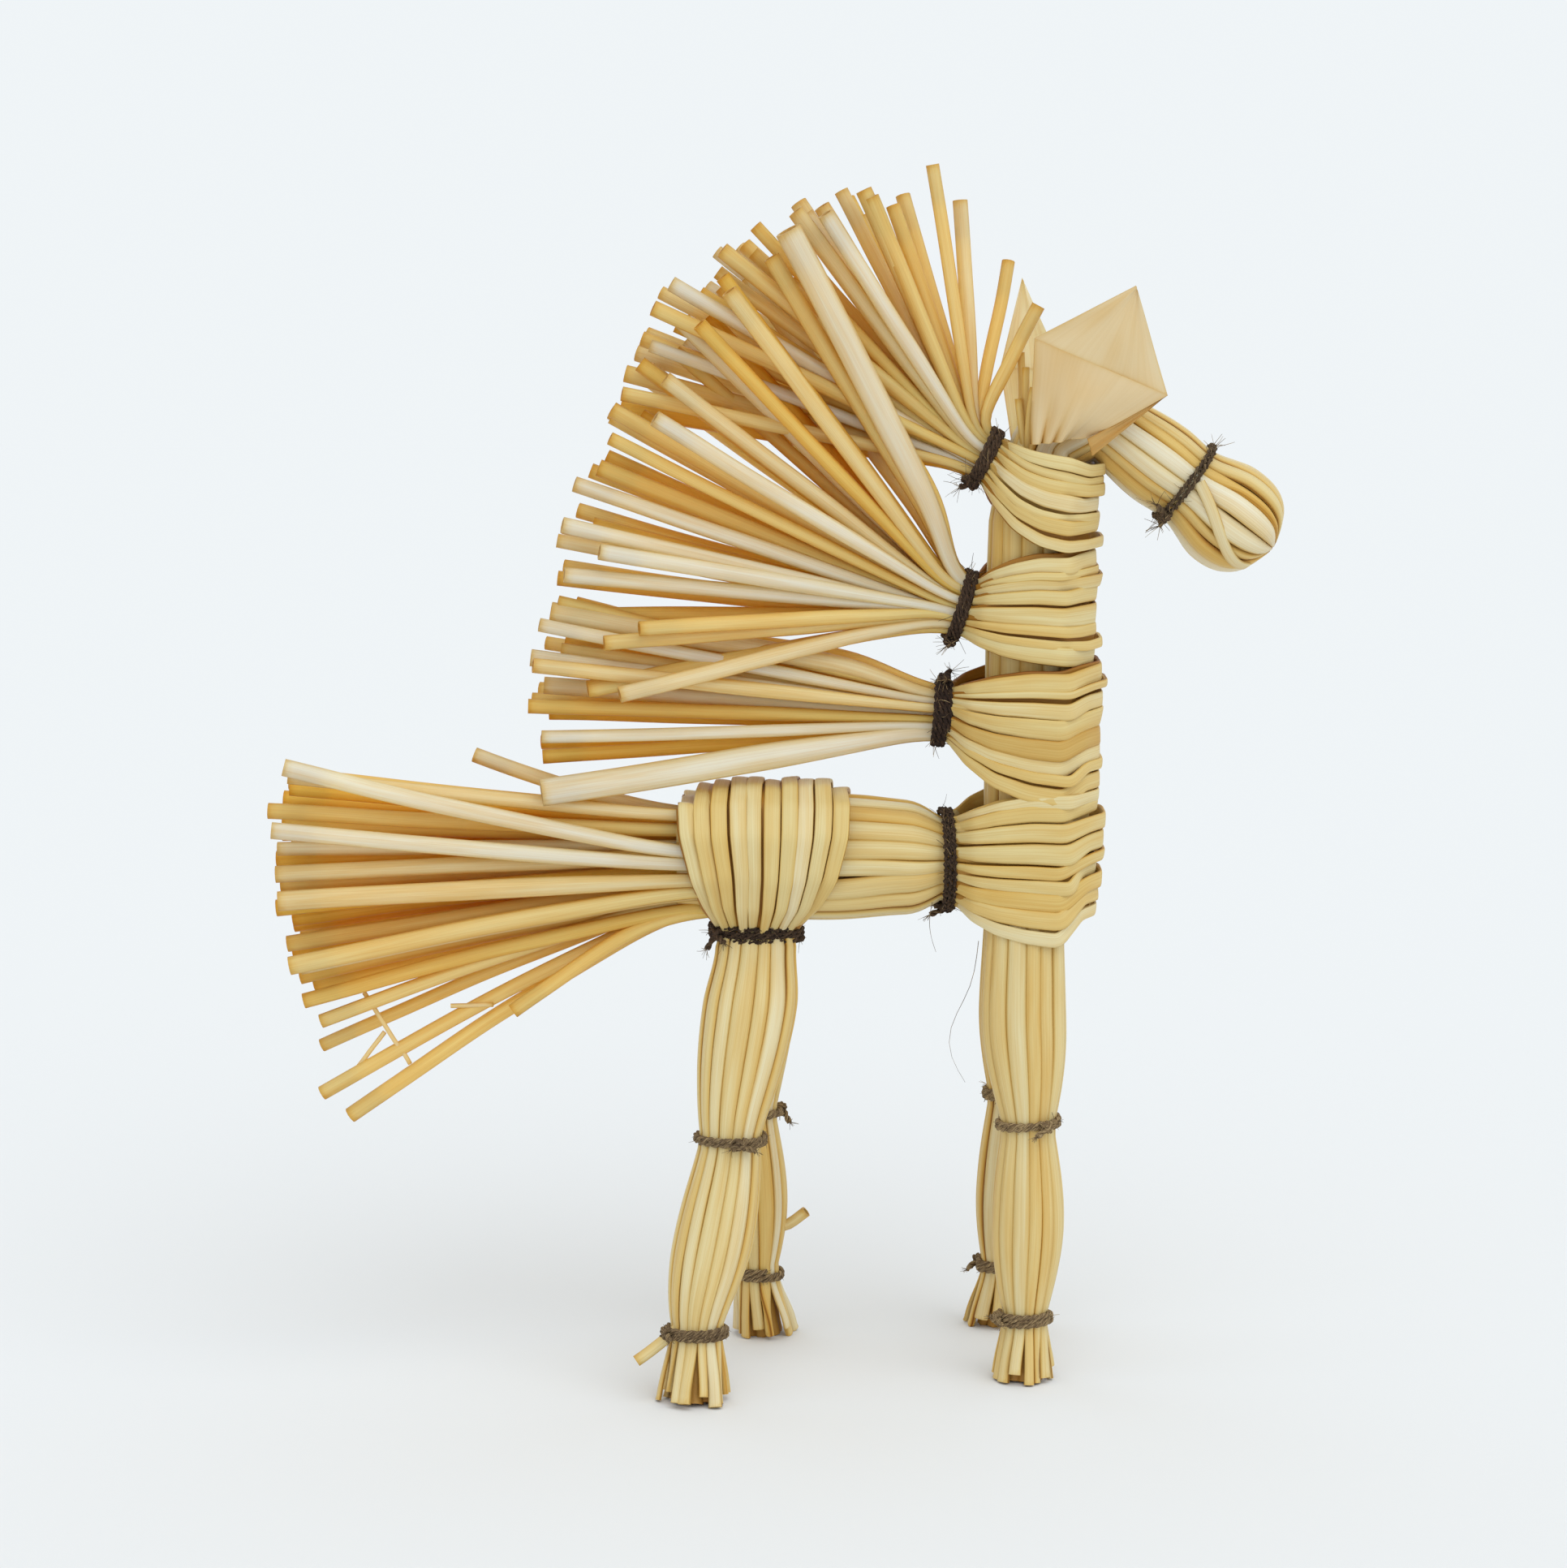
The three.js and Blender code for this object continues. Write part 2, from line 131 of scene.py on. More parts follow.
# ---- a mesh of many straws ----
class Weave:
    """Gathers swept straws and fibres into one mesh. Each keeps a tone, and its own place for the grain."""

    def __init__(self):
        self.points, self.faces, self.caps = [], [], []
        self.place, self.tone, self.edge_shade = [], [], []
        self.count = 0

    def sweep(
        self, path, side, out, half_w, half_t, tone, sides=10, square=1.0, hollow=False, edge_shade=0.0, end_shade=0.0
    ):
        """One closed straw. half_w, half_t: half its width and thickness along the path. square: below 1 it
        is boxier. edge shade: painted shade on its two edges, as in the gaps between straws, and a painted
        highlight on its ridge. cut end shade: painted shade on its cut end and in its bore."""
        turn = np.linspace(0, 2 * math.pi, sides, endpoint=False)
        across = np.sign(np.cos(turn)) * np.abs(np.cos(turn)) ** square
        up = np.sign(np.sin(turn)) * np.abs(np.sin(turn)) ** square
        n = len(path)
        half_w = np.broadcast_to(half_w, (n,))
        half_t = np.broadcast_to(half_t, (n,))

        def ring(i, share):
            return (
                path[i]
                + np.outer(across, side[i]) * half_w[i] * share
                + np.outer(up, out[i]) * half_t[i] * share
            )

        rings = [ring(i, 1.0) for i in range(n)]
        along = list(distances(path))
        if hollow:
            bottom = max(0, n - BORE_RINGS)
            rings += [ring(n - 1, WALL), ring(bottom, WALL * 0.9)]
            along += [along[n - 1] + 0.3 * MM, along[bottom]]
        self.points.append(np.concatenate(rings))
        self.skin(len(rings), sides)

        girth = float(np.mean(half_w) + np.mean(half_t)) * 1.6
        place = np.zeros((len(rings), sides, 3))
        place[:, :, 0] = np.array(along)[:, None]
        place[:, :, 1] = (across * girth)[None, :]
        place[:, :, 2] = (up * girth)[None, :] + rng.uniform(0, 9)
        self.place.append(place.reshape(-1, 3))
        self.tone.append(np.full(len(rings) * sides, float(np.clip(tone, 0, 1))))
        # painted shade: darker towards the two edges of the straw, and over its cut end and bore
        creased = np.concatenate([np.broadcast_to(edge_shade, (n,)), np.zeros(len(rings) - n)])
        painted_shade = np.outer(creased, np.abs(np.cos(turn)) ** 3)
        painted_shade[n - 1 :] = np.maximum(painted_shade[n - 1 :], end_shade)
        self.edge_shade.append(painted_shade.ravel())

    def skin(self, rings, sides):
        """The faces between the rings that were added last, and the two caps."""
        base = self.count
        index = np.arange(sides)
        following = (index + 1) % sides
        for i in range(rings - 1):
            a, b = base + i * sides, base + (i + 1) * sides
            self.faces.append(np.stack([a + index, a + following, b + following, b + index], axis=1))
        self.caps.append(list(base + index[::-1]))
        self.caps.append(list(base + (rings - 1) * sides + index))
        self.count += rings * sides

    def make(self, name, material, slot, *replaced):
        faces = [tuple(f) for f in np.concatenate(self.faces)] + [tuple(c) for c in self.caps]
        traits = (np.concatenate(self.place), np.concatenate(self.tone), np.concatenate(self.edge_shade))
        make_piece(name, np.concatenate(self.points), faces, traits, material, replaced)


def add_object(name, data):
    made = bpy.data.objects.new(name, data)
    bpy.context.scene.collection.objects.link(made)
    return made


def make_piece(name, points, faces, traits, material, replaced=()):
    """traits: for each point its place in the grain, its tone, and its edge shade: painted shade at creases,
    folds and cut ends, and a painted highlight where there is none.
    """
    mesh = bpy.data.meshes.new(name)
    points = points + CENTRE_SHIFT
    points[:, 2] = np.maximum(points[:, 2], FLOOR_GAP)
    mesh.from_pydata(points, [], faces)
    place, tone, edge_shade = traits
    mesh.attributes.new("place", "FLOAT_VECTOR", "POINT").data.foreach_set("vector", place.ravel())
    mesh.attributes.new("tone", "FLOAT", "POINT").data.foreach_set("value", tone)
    mesh.attributes.new("edge_shade", "FLOAT", "POINT").data.foreach_set("value", edge_shade)
    mesh.materials.append(material)
    mesh.polygons.foreach_set("use_smooth", [True] * len(mesh.polygons))
    mesh.set_sharp_from_angle(angle=SHARP)
    piece = add_object(name, mesh)
    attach(piece, "root")
    if replaced:
        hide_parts(*replaced)


# ---- materials: their colours first ----
# the darkest colour below is painted shade, for the core straws, the under layers of the wraps and rump, and
# the lip of the ear
SHADE_BROWN = (0.42, 0.20, 0.03)
BUNDLED = [SHADE_BROWN, (0.79, 0.56, 0.18), (0.81, 0.69, 0.37), (0.90, 0.85, 0.67)]
WRAPPED = [SHADE_BROWN, (0.78, 0.57, 0.19), (0.80, 0.67, 0.33), (0.88, 0.81, 0.56)]
LOOSE = [(0.96, 0.60, 0.06), (0.96, 0.71, 0.13), (0.96, 0.83, 0.36), (0.96, 0.98, 0.88)]
SPLIT = [SHADE_BROWN, (0.72, 0.47, 0.17), (0.75, 0.57, 0.31), (0.73, 0.64, 0.42)]
TONES = (0.0, 0.25, 0.6, 1.0)  # where each of the four colours stands on the scale of tones
# painted light across a straw, from the ridge of a pressed straw to its creased edge: a painted highlight on
# the ridge, then golden and dark brown painted shade towards the edge, where the gaps between straws lie in
# shade
EDGE_SHADING = [
    (0.0, (1.03, 1.03, 1.05)),
    (0.35, (1.0, 0.96, 0.86)),
    (0.62, (0.90, 0.75, 0.45)),
    (0.85, (0.52, 0.32, 0.10)),
    (1.0, (0.26, 0.12, 0.03)),
]
STREAKS = [(0.36, (0.88, 0.77, 0.58)), (0.56, (1, 1, 1)), (0.75, (1.06, 1.04, 1.0))]
STAINS = [(0.34, (0.94, 0.81, 0.58)), (0.60, (1, 1, 1))]
GLOW = (1.0, 0.87, 0.40)  # what light takes on as it passes through straw
FIBRES = [(0.38, (0.030, 0.014, 0.008)), (0.50, (0.140, 0.088, 0.046)), (0.66, (0.48, 0.36, 0.21))]
TWINE_TONES = [(0.0, (0.14, 0.08, 0.06)), (0.3, (0.42, 0.34, 0.30)), (1.0, (1.7, 1.7, 1.45))]
BUMP_DEPTH = 0.0002


def new_material(name, roughness):
    material = bpy.data.materials.new(name)
    material.use_nodes = True
    shader = material.node_tree.nodes["Principled BSDF"]
    shader.inputs["Roughness"].default_value = roughness
    return material, material.node_tree, shader


def node(tree, kind, **inputs):
    made = tree.nodes.new(kind)
    for key, value in inputs.items():
        made.inputs[key.replace("_", " ")].default_value = value
    return made


def attribute(tree, name):
    made = tree.nodes.new("ShaderNodeAttribute")
    made.attribute_name = name
    return made


def grain(tree, stretch, detail):
    """Noise drawn out along the straw. stretch: how often it changes along, across and through a metre."""
    place = attribute(tree, "place")
    stretched = tree.nodes.new("ShaderNodeVectorMath")
    stretched.operation = "MULTIPLY"
    stretched.inputs[1].default_value = stretch
    noise = node(tree, "ShaderNodeTexNoise", Scale=1.0, Detail=detail, Roughness=0.6)
    tree.links.new(place.outputs["Vector"], stretched.inputs[0])
    tree.links.new(stretched.outputs[0], noise.inputs["Vector"])
    return noise


def ramp(tree, source, stops):
    made = tree.nodes.new("ShaderNodeValToRGB")
    while len(made.color_ramp.elements) < len(stops):
        made.color_ramp.elements.new(0.5)
    for element, (place, colour) in zip(made.color_ramp.elements, stops):
        element.position = place
        element.color = (*colour, 1)
    tree.links.new(source, made.inputs["Fac"])
    return made.outputs["Color"]


def multiplied(tree, factor, a, b):
    """Colour a, darkened by colour b as far as the factor says. b: a socket or a colour."""
    made = tree.nodes.new("ShaderNodeMix")
    made.data_type = "RGBA"
    made.blend_type = "MULTIPLY"
    made.inputs["Factor"].default_value = factor
    first, second = [s for s in made.inputs if s.type == "RGBA"]
    tree.links.new(a, first)
    if isinstance(b, tuple):
        second.default_value = (*b, 1)
    else:
        tree.links.new(b, second)
    return [s for s in made.outputs if s.type == "RGBA"][0]


def roughened(tree, shader, height, strength):
    bump = node(tree, "ShaderNodeBump", Strength=strength, Distance=BUMP_DEPTH)
    tree.links.new(height, bump.inputs["Height"])
    tree.links.new(bump.outputs["Normal"], shader.inputs["Normal"])


def straw_material(name, colours, roughness=0.45, streak=0.6, through_share=0.14):
    """Straw: four colours from deep gold to cream, streaks and stains, painted shade at creases, folds and
    cut ends with a painted highlight on ridges, and a share of the light passes through it."""
    material, tree, shader = new_material(name, roughness)
    fibres = grain(tree, (40, 3400, 3400), detail=3.0).outputs["Fac"]
    blotches = grain(tree, (42, 240, 240), detail=2.0).outputs["Fac"]
    colour = ramp(tree, attribute(tree, "tone").outputs["Fac"], list(zip(TONES, colours)))
    colour = multiplied(tree, streak, colour, ramp(tree, fibres, STREAKS))
    colour = multiplied(tree, 0.8, colour, ramp(tree, blotches, STAINS))
    # painted light: the ridge of each straw gets a painted highlight, its flanks, creases, folds and cut end
    # painted shade
    colour = multiplied(tree, 1.0, colour, ramp(tree, attribute(tree, "edge_shade").outputs["Fac"], EDGE_SHADING))
    tree.links.new(colour, shader.inputs["Base Color"])
    shader.inputs["Specular IOR Level"].default_value = 0.28
    roughened(tree, shader, fibres, 0.2)
    through = tree.nodes.new("ShaderNodeBsdfTranslucent")
    tree.links.new(multiplied(tree, 1.0, colour, GLOW), through.inputs["Color"])
    both = node(tree, "ShaderNodeMixShader", Fac=through_share)
    tree.links.new(shader.outputs["BSDF"], both.inputs[1])
    tree.links.new(through.outputs["BSDF"], both.inputs[2])
    tree.links.new(both.outputs["Shader"], tree.nodes["Material Output"].inputs["Surface"])
    return material


def twine_material():
    material, tree, shader = new_material("linen_twine", 0.95)
    fibres = grain(tree, (500, 5200, 5200), detail=4.0).outputs["Fac"]
    grey = ramp(tree, attribute(tree, "tone").outputs["Fac"], TWINE_TONES)
    colour = multiplied(tree, 1.0, ramp(tree, fibres, FIBRES), grey)
    tree.links.new(colour, shader.inputs["Base Color"])
    roughened(tree, shader, fibres, 0.5)
    return material


bundled = straw_material("bundled_straw", BUNDLED)
wrapped = straw_material("wrapped_straw", WRAPPED)
loose = straw_material("loose_straw", LOOSE, 0.4, 0.45, 0.42)
split = straw_material("split_straw", SPLIT, 0.5, 0.18)
linen = twine_material()


# ---- bundles: straws side by side round an outline that the CAD solid gives ----
LEVEL_GAP = 0.03 * MM  # a wider gap between the points of a CAD solid starts its next ring
TIE_LENGTH = 4 * MM
STRAW_WIDTHS = (0.75, 1.28)  # the narrowest and the widest of a bundle, as shares of the mean
STRAW_FLATNESS = (0.48, 0.66)  # thickness of a straw in a bundle, as a share of its width
THICKEST = 0.85 * MM
CORE_PLACE = 0.45  # how far out the dark core straws lie, as a share of the half widths
CORE_SIZE = 0.29  # their radius, as a share of the smaller one
# painted shade: the core straws are painted nearly black-brown, as the shade deep inside a bundle
CORE_SHADE_TONE = 0.04
# painted shade: how dark the cut ends and bores of straws are painted, as the shade in their hollows
CUT_SHADE = 0.5
LOOSE_CUT_SHADE = 0.68


def cad_levels(name, along, a, b):
    """Middle and half widths of each flat ring of a CAD bundle: rows of x, y, z, half a, half b."""
    points = np.array([v.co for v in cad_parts[name].data.vertices]) - CENTRE_SHIFT
    points = np.unique(np.round(points, 7), axis=0)
    height = points @ along
    order = np.argsort(height)
    groups = np.split(order, np.nonzero(np.diff(height[order]) > LEVEL_GAP)[0] + 1)
    rows = []
    for group in groups:
        if len(group) < 8:
            continue
        ring = points[group]
        span_a, span_b = ring @ a, ring @ b
        middle = (
            a * (span_a.max() + span_a.min()) / 2
            + b * (span_b.max() + span_b.min()) / 2
            + along * height[group].mean()
        )
        rows.append([*middle, np.ptp(span_a) / 2 / (1 + FLUTE), np.ptp(span_b) / 2 / (1 + FLUTE)])
    return np.array(rows)


def is_held(rows, i):
    """A ring under a tie has a twin of the same size within the length of the tie."""
    for j in (i - 1, i + 1):
        if 0 <= j < len(rows):
            close = np.linalg.norm(rows[i][:3] - rows[j][:3]) < TIE_LENGTH
            alike = np.abs(rows[i][3:] - rows[j][3:]).max() < 0.05 * MM
            if close and alike:
                return True
    return False


def eased(rows, step=0.9 * MM):
    """Fills in between the rings: straws leave a tie steeply and lie flat where the bundle is fullest."""
    held = [is_held(rows, i) for i in range(len(rows))]
    filled = [rows[0]]
    for i in range(len(rows) - 1):
        count = max(2, int(np.linalg.norm(rows[i + 1][:3] - rows[i][:3]) / step))
        for t in np.linspace(0, 1, count + 1)[1:]:
            if (held[i] and held[i + 1]) or i == len(rows) - 2:
                share = t
            elif held[i]:
                share = math.sin(t * math.pi / 2)
            elif held[i + 1]:
                share = 1 - math.cos(t * math.pi / 2)
            else:
                share = smooth(t)
            middle = rows[i][:3] + (rows[i + 1][:3] - rows[i][:3]) * t
            half = rows[i][3:] + (rows[i + 1][3:] - rows[i][3:]) * share
            filled.append(np.concatenate([middle, half]))
    filled = np.array(filled)
    mean_step = np.linalg.norm(np.diff(filled[:, :3], axis=0), axis=1).mean()
    middle = rounded(filled[:, :3], step=mean_step, rounding=3 * MM)
    spread = np.linspace(0, len(filled) - 1, len(middle))
    half = np.stack([np.interp(spread, np.arange(len(filled)), filled[:, k]) for k in (3, 4)], axis=1)
    return middle, half


def bundle(
    weave, middle, half, a, b, count, tone=0.5, spread=0.13, shorter=0.0, drift=0.03, splay=0.0, hollow=False
):
    """Straws round an oval that changes along the way, over a core painted dark as painted shade. a and b:
    directions across.
    spread: of the tones. shorter: how much some may lack at the end. drift: how far one strays round the
    oval. splay: how far they stand apart, along the way."""
    n = len(middle)
    splay = np.broadcast_to(splay, (n,))
    step = np.linalg.norm(middle[-1] - middle[-2])
    shares = rng.uniform(*STRAW_WIDTHS, count)
    edges = np.concatenate([[0], np.cumsum(shares)]) / shares.sum() * 2 * math.pi
    start = rng.uniform(0, 2 * math.pi)
    for k in range(count):
        turn = start + (edges[k] + edges[k + 1]) / 2 + wander(n, drift, 2.0) + splay * rng.normal(0, 0.08)
        width = (edges[k + 1] - edges[k]) / 2
        cos, sin = np.cos(turn)[:, None], np.sin(turn)[:, None]
        out = unit(a * cos / half[:, :1] + b * sin / half[:, 1:])
        girth = np.hypot(half[:, 0] * np.sin(turn), half[:, 1] * np.cos(turn))
        half_w = girth * width * (1.0 - 0.10 * np.minimum(splay, 1))
        half_t = np.minimum(half_w * rng.uniform(*STRAW_FLATNESS), THICKEST)
        inset = half_t + np.abs(wander(n, 0.14 * MM, 2.0)) - splay * rng.uniform(-0.5, 1.0) * MM
        inset = inset[:, None]
        path = middle + a * cos * (half[:, :1] - inset) + b * sin * (half[:, 1:] - inset)
        side, out = frames(path, out)
        tilt = (rng.normal(0, 0.10) + splay * rng.normal(0, 0.5))[:, None]
        side, out = turned(side, out, tilt)
        stop = n - int(rng.uniform(0, shorter) / step)
        straw = (path[:stop], side[:stop], out[:stop], half_w[:stop], half_t[:stop])
        shade = rng.normal(tone, spread)
        weave.sweep(*straw, shade, square=0.85, hollow=hollow, edge_shade=rng.uniform(0.65, 1), end_shade=CUT_SHADE)
    # the core straws, painted dark as painted shade
    core = max(5, count // 2)
    for k in range(core):
        turn = 2 * math.pi * k / core + 0.3
        offset = (a * math.cos(turn) * half[:, :1] + b * math.sin(turn) * half[:, 1:]) * CORE_PLACE
        side, out = frames(middle + offset, unit(offset))
        size = half.min(1) * CORE_SIZE
        weave.sweep(middle + offset, side, out, size, size, CORE_SHADE_TONE, sides=8, hollow=hollow)


def loose_straw(weave, points, radius, tone, root, rounding=5 * MM, root_flat=0.45, hollow=True):
    """One round straw, pressed flat where it leaves its tie. points run from the tie to the cut end.
    root: half its width at the tie. root_flat: its thickness there, as a share of that."""
    path = rounded(points, step=1.6 * MM, rounding=rounding)
    t = np.linspace(0, 1, len(path))
    path = path + np.stack([wander(len(path), 0.12 * MM) for _ in range(3)], axis=1) * t[:, None]
    side, out = frames(path, Y_AXIS)
    half_w = root + (radius - root) * smooth(t / 0.5)
    half_t = root * root_flat + (radius - root * root_flat) * smooth(t / 0.36)
    # painted shade on the flanks, strongest where the straw is pressed flat at its tie
    edge_shade = 0.95 - 0.4 * smooth(t / 0.4)
    weave.sweep(path, side, out, half_w, half_t, tone, hollow=hollow, edge_shade=edge_shade, end_shade=LOOSE_CUT_SHADE)


# ---- legs and body ----
# number of straws, splay of the hoof, degrees from the front to the knots at knee and ankle, twine's tone
LEGS = {
    "front_leg_near": (14, 0.9, -62, 200, 0.95),
    "front_leg_far": (13, 0.8, 112, 150, 0.85),
    "hind_leg_near": (15, 1.1, -72, 205, 0.62),
    "hind_leg_far": (14, 1.3, 20, 150, 0.8),
}
# single straws that stand out of the hind legs, from the ankle tie to the cut end
STRAYS = {
    "hind_leg_near": [(-11, -14.5, 17.5), (-14.5, -18.2, 13), (-18.9, -19.4, 9.9), (-23.4, -20.4, 6.8)],
    "hind_leg_far": [(-4.6, 13, 24), (-2, 15, 17.5), (-0.2, 14, 17.6), (3.8, 13.4, 22.4)],
}
BODY_FRONT = 24 * MM
BODY_FREE = 38 * MM  # length of the body's straws between the chest tie and the rump
BODY_SWELL = 0.8 * MM


def legs():
    """Gives, for each leg, the middle and half widths at its knee and ankle ties."""
    ties = {}
    for name, (count, foot_splay, *_) in LEGS.items():
        rows = cad_levels(name, Z_AXIS, X_AXIS, Y_AXIS)[::-1]
        held = [is_held(rows, i) for i in range(len(rows))]
        ties[name] = [rows[i : i + 2].mean(0) for i in range(len(rows) - 1) if held[i] and held[i + 1]]
        if name.startswith("hind"):
            root = rows[0] * [1, 0.67, 1, 0.93, 0.67]
            root[2] = (BELLY_TIE[1] - 0.2) * MM
            rows = np.concatenate([[root], rows])
        middle, half = eased(rows)
        middle[-1, 2] = FOOT_Z
        ankle_z = ties[name][1][2]
        splay = foot_splay * smooth((ankle_z - middle[:, 2]) / (ankle_z - 2 * MM))
        weave = Weave()
        bundle(weave, middle, half, X_AXIS, Y_AXIS, count, 0.55, shorter=1.8 * MM, splay=splay, hollow=True)
        if name in STRAYS:
            loose_straw(weave, mm(*STRAYS[name]), 0.95 * MM, 0.55, 0.7 * MM)
        weave.make("straws_" + name, bundled, "bundled_straw", name)
    return ties


def body():
    rows = cad_levels("body_bundle", X_AXIS, Y_AXIS, Z_AXIS)[::-1]
    middle, half = eased(rows)
    half[:, 1] += BODY_SWELL * np.sin(math.pi * np.clip((BODY_FRONT - middle[:, 0]) / BODY_FREE, 0, 1))
    weave = Weave()
    bundle(weave, middle, half, Y_AXIS, Z_AXIS, 18)
    weave.make("straws_body_bundle", bundled, "bundled_straw", "body_bundle")


# ---- neck and head: one bundle that bends over the poll and is folded back at the nose ----
HEAD_SLOPE = math.radians(-36.5)
head_along = np.array([math.cos(HEAD_SLOPE), 0, math.sin(HEAD_SLOPE)])
head_up = np.array([-math.sin(HEAD_SLOPE), 0, math.cos(HEAD_SLOPE)])
POLL = one_mm(45.4, 0, 159.3)
SNOUT_TIE = 23.5  # from the poll along the head
NOSE_SPLAY = 0.4
NECK_X = 40.8
# up the neck: x, z, and its half width in x and in y
NECK = [
    (NECK_X, 76, 8.2, 8), (NECK_X, 100, 8.4, 8), (NECK_X, 125, 8.3, 7.9),
    (NECK_X, 139, 8, 7.6), (41.4, 147.5, 6.9, 7),
]
# where the head bundle starts inside the neck: x, z and its radius
BEND = [(41, 136, 7.4), (41, 145, 6.8), (42.4, 151.6, 6.1)]
# how far along the head, and its radius there
HEAD = [
    (6, 5.8), (10, 6.2), (16, 7), (20, 7.1), (22.1, 6.7), (24.9, 6.7), (28, 7.8),
    (31, 8.6), (34, 8.6), (36.4, 8), (38.1, 6.8), (39.4, 5.2), (40.3, 3.4), (40.8, 1.2),
]
# tips of the thin ends of the bundle that stand up behind the near ear
POLL_ENDS = [(37.2, -4.0, 158.5), (38.4, -3.0, 163.5), (39.3, -5.0, 160.5), (38.0, 1.0, 166.0)]


def neck():
    weave = Weave()
    middle, half = eased(mm(*[(x, 0, z, half_x, half_y) for x, z, half_x, half_y in NECK]))
    bundle(weave, middle, half, X_AXIS, Y_AXIS, 16, tone=0.45)
    weave.make("straws_neck_bundle", bundled, "bundled_straw", "neck_bundle")


def head():
    start = mm(*[(x, 0, z, radius) for x, z, radius in BEND])
    rest = [[*(POLL + head_along * distance * MM), radius * MM] for distance, radius in HEAD]
    path = rounded(np.concatenate([start, rest]), step=0.55 * MM, rounding=1.3 * MM)
    middle, radius = path[:, :3], np.maximum(path[:, 3:], 0.7 * MM)
    up = np.cross(unit(np.gradient(middle, axis=0)), Y_AXIS)
    half = np.concatenate([radius, radius], axis=1)
    beyond_tie = (middle - POLL) @ head_along - SNOUT_TIE * MM
    splay = NOSE_SPLAY * smooth((beyond_tie - 2 * MM) / (6 * MM))
    weave = Weave()
    bundle(weave, middle, half, Y_AXIS, up, 16, tone=0.62, spread=0.2, drift=0.06, splay=splay)
    crossing_straw(weave)
    for x, y, z in POLL_ENDS:
        loose_straw(weave, mm([39.5, y * 0.8, 144], [38.2, y, 150], [x, y, z]), 0.6 * MM, 0.3, 0.6 * MM)
    weave.make("straws_head_bundle", bundled, "bundled_straw", "head_bundle")


def crossing_straw(weave):
    """One flat straw that crosses the nose on the near side, from the tie to the underside."""
    points = []
    for t in np.linspace(0, 1, 16):
        distance, turn = 24.5 + 14.5 * t, math.radians(-8 + 62 * t)
        radius = np.interp(distance, *zip(*HEAD)) + 0.35
        outward = -Y_AXIS * math.cos(turn) - head_up * math.sin(turn)
        points.append(POLL + (head_along * distance + outward * radius) * MM)
    path = rounded(points, step=0.8 * MM, rounding=1.5 * MM)
    nose_middle = POLL + head_along * 31 * MM
    side, out = frames(path, path - nose_middle)
    weave.sweep(path, side, out, 0.95 * MM, 0.3 * MM, 0.72, square=0.7, edge_shade=0.8)


# ---- wraps: straws pressed flat and taken round the neck, with a sharp fold on each side ----
# waist: x, z, half height, half width, slope in degrees. crease and front: x, z, half height.
# lift: how far out it stands from the neck.
WRAPS = {
    "mane_wrap_top": dict(
        waist=(32.5, 149.1, 3.8, 2.8, -29), crease=(44, 142.4, 7.4),
        front=(49.4, 141.7, 6.5), count=7, lift=0.2,
    ),
    "mane_wrap_middle": dict(
        waist=(29.1, 125.6, 4.6, 3, -18), crease=(44.2, 125.7, 8.7),
        front=(49.5, 125.5, 9.3), count=8, lift=0,
    ),
    "mane_wrap_lower": dict(
        waist=(25.8, 108.3, 4.2, 2.9, -5), crease=(44.6, 105.2, 10.6),
        front=(49.9, 106.4, 10), count=8, lift=0.5,
    ),
    "chest_wrap": dict(
        waist=(27, 84.5, 7.1, 5.3, 0), crease=(44.8, 84.4, 12.4),
        front=(50, 86, 10.4), count=9, lift=0.1,
    ),
}
# share of the way from waist to crease, share of the spread reached there, share of the full depth
WRAP_RISE = [(0.20, 0.36, 0.62), (0.42, 0.70, 0.88), (0.70, 0.93, 0.98)]
NECK_MIDDLE = one_mm(NECK_X, 0, 0)
WRAP_TONE = 0.56
# painted shade: the under layer is painted dark brown, as the shade in the gaps of a wrap
UNDER_SHADE_TONE = 0.03  # of the dark layer that shows in the gaps of a wrap
WAIST_TURN = 1.3  # how far round the waist the outermost straws sit, in radians
PROUD = [0.0, 0.2, 1.1]  # how far some straws stand out at the front


def ribbon(weave, points, half_w, half_t, tone, middle, axis, rounding, tilt):
    """One flattened straw along points, round an axis through middle."""
    path = rounded(points, step=0.65 * MM, rounding=rounding)
    side, out = turned(*frames(path, unit((path - middle) * (1 - axis))), tilt)
    runs = distances(points)
    half_w = np.interp(np.linspace(0, runs[-1], len(path)), runs, half_w)
    # painted shade at both edges of each flattened straw, stronger on some than others
    weave.sweep(path, side, out, half_w, half_t, tone, sides=12, square=0.6, edge_shade=rng.uniform(0.35, 1.0))


